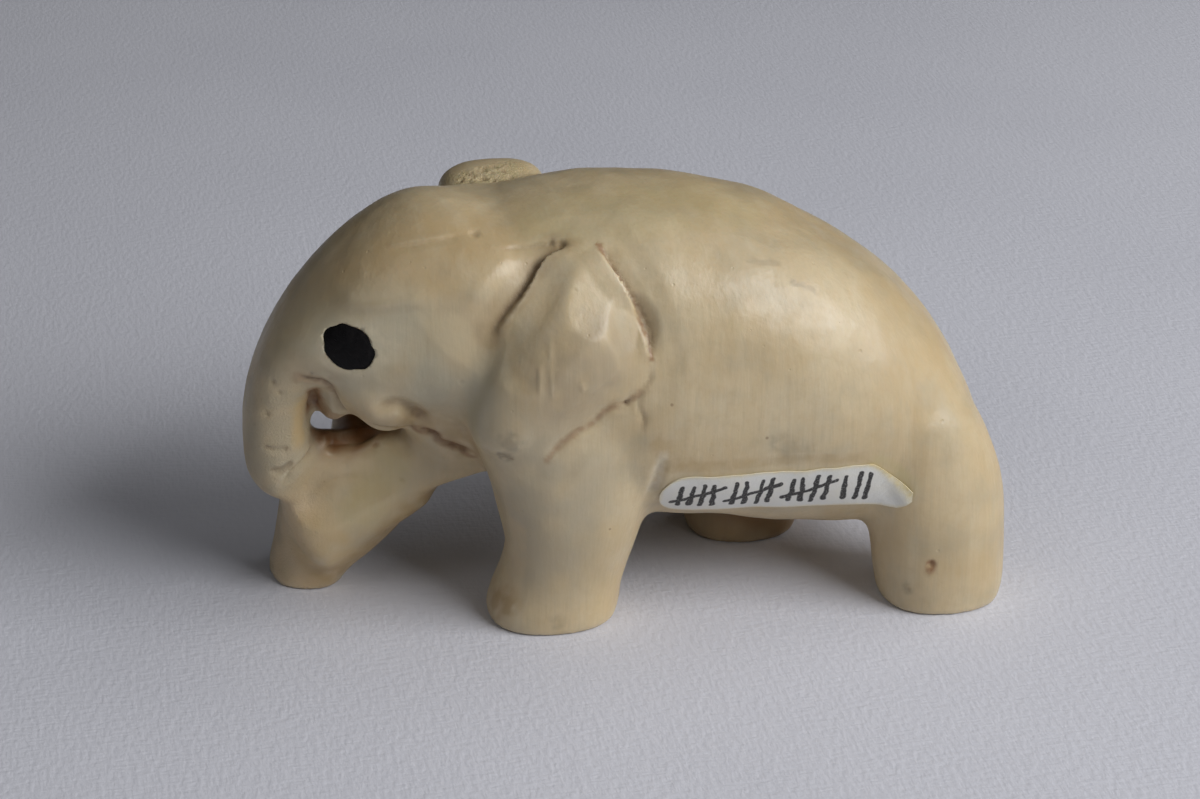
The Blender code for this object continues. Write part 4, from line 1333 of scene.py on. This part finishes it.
@dataclass
class PaperLabel:
    """A gummed strip on the left flank, with its upper rear corner creased over."""

    UV_UNIT = 25.0

    length: float = 22.6
    height: float = 5.3
    columns: int = 150
    rows: int = 30
    round_end: float = 2.0
    corner: tuple[float, float] = (18.6, 3.6)
    fold_start: float = 18.2
    thickness: float = 0.11
    gap: float = 0.03
    start: Point = (1.35, -14.0, 13.45)
    first_tally: float = 1.7
    tally_step: float = 1.05
    group_gap: float = 0.75
    tally_groups: tuple[tuple[int, bool], ...] = ((4, True), (4, True), (4, True), (3, False))
    rise: float = math.radians(0.6)
    name: str = "flank_label"

    def build(self, tree: BVHTree) -> bpy.types.Object:
        """Cuts the strip, lays it on the flank and writes on it.

        Args:
            tree: The skin that the strip is gummed to.

        Returns:
            The finished object.
        """
        bm = bmesh.new()
        bmesh.ops.create_grid(bm, x_segments=self.columns, y_segments=self.rows, size=0.5)
        layer = bm.loops.layers.uv.new("paper")
        aged = bm.verts.layers.float.new("aged")
        for vert in bm.verts:
            along, up = vert.co.x + 0.5, vert.co.y + 0.5
            low, high = self.edges(along)
            vert[aged] = self.age(along, up)
            vert.co = Vector((along * self.length, low + (high - low) * up, 0.0))
        for face in bm.faces:
            for loop in face.loops:
                place = loop.vert.co
                loop[layer].uv = (place.x / self.UV_UNIT, (place.y + self.height / 2) / self.UV_UNIT)
        self.lay(bm, tree)
        bmesh.ops.recalc_face_normals(bm, faces=bm.faces)
        outward = sum((face.normal for face in bm.faces), Vector())
        if outward.y > 0:
            bmesh.ops.reverse_faces(bm, faces=bm.faces)
        bmesh.ops.solidify(bm, geom=bm.faces[:], thickness=self.thickness * MM)
        label = finished(bm, self.name)
        label.data.shade_smooth()
        label.data.set_sharp_from_angle(angle=math.radians(50))
        label.data.materials.append(PaperFinish().build(self.tallies()))
        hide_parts("paper_label")
        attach(label, "root")
        return label

    def edges(self, along: float) -> tuple[float, float]:
        """Lower and upper edge of the strip at a share of its length, from its middle line."""
        place = along * self.length
        short = max(0.0, 1 - place / self.round_end)
        share = math.sqrt(max(0.02, 1 - short**2))
        wave = 0.05 * math.sin(place * 0.9) + 0.03 * math.sin(place * 2.3 + 1)
        low = -self.height / 2 * share + 0.04 * math.sin(place * 1.4 + 2) * share
        high = self.height / 2 * share + wave * share
        from_corner = max(0.0, place - self.corner[0]) / (self.length - self.corner[0])
        high -= self.corner[1] * from_corner**1.2
        low += 0.9 * max(0.0, (place - self.length + 1.2) / 1.2) ** 1.5
        return low, high

    def age(self, along: float, up: float) -> float:
        """How yellow the paper is: most at the creased corner, a little along every edge."""
        low, high = self.edges(along)
        height = high - low
        to_edge = min(up * height, (1 - up) * height, along * self.length, (1 - along) * self.length)
        rim = math.exp(-((to_edge / 0.22) ** 2)) * 0.6
        place = along * self.length
        folded = 0.25 + 0.22 * max(0, place - self.fold_start)
        sliver = (place > self.corner[0] - 0.3) * math.exp(-(((1 - up) * height / folded) ** 2))
        return min(1.0, max(rim, sliver))

    def lay(self, bm: bmesh.types.BMesh, tree: BVHTree) -> None:
        """Moves the flat strip onto the flank, keeping its lengths down the side.

        Args:
            bm: The strip, flat, in millimetres.
            tree: The skin.
        """
        start = Vector(self.start)
        for vert in bm.verts:
            x = start.x + vert.co.x * math.cos(self.rise)
            base = start.z + vert.co.x * math.sin(self.rise)
            found, normal = self.walk(tree, x, base, vert.co.y)
            lift = self.gap + self.thickness + self.buckle(vert.co.x, vert.co.y)
            vert.co = found + normal * lift * MM

    def walk(self, tree: BVHTree, x: float, base: float, up: float) -> tuple[Vector, Vector]:
        """A place on the flank reached by walking up or down the skin from the strip's middle line.

        Args:
            tree: The skin.
            x: Where along the flank, in millimetres.
            base: Height of the middle line, in millimetres.
            up: How far above the middle line, along the skin, in millimetres.

        Returns:
            The place and the outward direction there, in metres.
        """
        outside = 20.0
        found, normal, _, _ = tree.ray_cast(Vector((x, -outside, base)) * MM, Vector((0, 1, 0)))
        steps = max(1, math.ceil(abs(up) / 0.3))
        for _ in range(steps):
            heading = Vector((0, normal.z, -normal.y)).normalized() * (1 if -normal.y > 0 else -1)
            found = found + heading * (up / steps) * MM
            found, normal, _, _ = tree.find_nearest(found)
        return found, normal

    def buckle(self, x: float, y: float) -> float:
        """How far the paper lifts off the bone, most in the crease at its rear corner."""
        rear = max(0.0, (x - self.corner[0]) / (self.length - self.corner[0]))
        upper = max(0.0, (y + 0.6) / self.height)
        crumple = 0.35 * rear**1.5 * (0.5 + 0.5 * math.sin(3.1 * x + 2.2 * y)) + 0.3 * rear**3
        ripple = 0.02 * math.sin(1.7 * x) * (y / self.height)
        return crumple * (0.4 + upper) + ripple

    def tallies(self) -> tuple[tuple[float, float, float, float], ...]:
        """Pen lines: groups of upright tallies, every full group struck through."""
        draw = np.random.default_rng(23)
        lines = []
        place = self.first_tally
        for count, struck in self.tally_groups:
            first = place
            for _ in range(count):
                lean, low, high = draw.uniform(-0.12, 0.3), draw.uniform(1.0, 1.4), draw.uniform(4.0, 4.5)
                lines.append((place, low, place + lean, high))
                place += self.tally_step + draw.uniform(-0.1, 0.1)
            if struck:
                lines.append((first - 0.6, 1.8, place - 0.2, 3.8))
            place += self.group_gap
        return tuple(lines)


def bearing(azimuth: float, elevation: float) -> Vector:
    """The direction of a place seen from the carving.

    Args:
        azimuth: Angle round from the left side towards the rear, in radians.
        elevation: Angle above the table, in radians.

    Returns:
        A direction of unit length.
    """
    level = math.cos(elevation)
    return Vector((math.sin(azimuth) * level, -math.cos(azimuth) * level, math.sin(elevation)))


@dataclass(frozen=True)
class Lamp:
    """A soft oblong lamp aimed at the carving."""

    name: str
    azimuth: float
    elevation: float
    width: float
    height: float
    power: float
    distance: float = 0.7
    aim: Point = (0.0, 0.0, 0.015)

    def build(self) -> None:
        """Hangs the lamp."""
        data = bpy.data.lights.new(self.name, "AREA")
        data.shape = "RECTANGLE"
        data.size = self.width
        data.size_y = self.height
        data.energy = self.power
        item = bpy.data.objects.new(self.name, data)
        bpy.context.scene.collection.objects.link(item)
        outwards = bearing(math.radians(self.azimuth), math.radians(self.elevation))
        item.location = Vector(self.aim) + outwards * self.distance
        item.rotation_euler = outwards.to_track_quat("Z", "Y").to_euler()


@dataclass
class Studio:
    """A pale table, soft lamps and the camera."""

    azimuth: float = math.radians(-10)
    elevation: float = math.radians(25)
    distance: float = 0.272
    aim: Point = (-0.002, 0.00005, 0.018)
    lens: float = 90.0
    table: float = 3.0
    world: Colour = (0.60, 0.62, 0.68)
    world_strength: float = 0.006
    lamps: tuple[Lamp, ...] = (
        Lamp("key", azimuth=50, elevation=34, width=0.56, height=0.36, power=4.4),
        Lamp("left fill", azimuth=-48, elevation=42, width=0.35, height=0.35, power=0.38),
        Lamp("right fill", azimuth=95, elevation=16, width=0.35, height=0.35, power=0.26),
        Lamp("top fill", azimuth=105, elevation=50, width=0.35, height=0.35, power=0.42),
        Lamp("rear fill", azimuth=225, elevation=12, width=0.35, height=0.35, power=0.05),
    )

    def build(self) -> None:
        """Lays the table, hangs the lamps and sets the camera."""
        self.floor()
        for lamp in self.lamps:
            lamp.build()
        self.sky()
        self.camera()
        bpy.context.scene.view_settings.view_transform = "Standard"

    def floor(self) -> None:
        """A wide plain table top."""
        bm = bmesh.new()
        bmesh.ops.create_grid(bm, x_segments=4, y_segments=4, size=self.table)
        item = finished(bm, "table_top")
        item.data.materials.append(FloorFinish().build())

    def sky(self) -> None:
        """Even pale light from all round."""
        world = bpy.data.worlds.new("studio")
        world.use_nodes = True
        background = world.node_tree.nodes["Background"]
        background.inputs["Color"].default_value = (*self.world, 1.0)
        background.inputs["Strength"].default_value = self.world_strength
        bpy.context.scene.world = world

    def camera(self) -> None:
        """The camera, square on to the carving."""
        data = bpy.data.cameras.new("camera")
        data.lens = self.lens
        data.sensor_width = 36.0
        data.sensor_fit = "HORIZONTAL"
        data.clip_start = 0.01
        item = bpy.data.objects.new("camera", data)
        bpy.context.scene.collection.objects.link(item)
        item.location = Vector(self.aim) + bearing(self.azimuth, self.elevation) * self.distance
        item.rotation_euler = (math.pi / 2 - self.elevation, 0, self.azimuth)
        bpy.context.scene.camera = item


def skin_tree(item: bpy.types.Object) -> BVHTree:
    """A search tree over the faces of an object."""
    mesh = item.data
    places = [vert.co.copy() for vert in mesh.vertices]
    return BVHTree.FromPolygons(places, [list(face.vertices) for face in mesh.polygons])


def report(item: bpy.types.Object) -> None:
    """Logs one finished piece."""
    LOG.info("%s: %d faces", item.name, len(item.data.polygons))


def main() -> None:
    """Builds the pieces in order, then the studio."""
    logging.basicConfig(level=logging.INFO, format="%(message)s")
    eyes = [EyeInlay(Side.LEFT), EyeInlay(Side.RIGHT)]
    carving = CarvedBody()
    report(carving.build(eyes))
    black = InlayFinish().build()
    for eye in eyes:
        report(eye.build(black, carving.tree))
    report(PaperLabel().build(carving.tree))
    Studio().build()


if __name__ == "__main__":
    main()
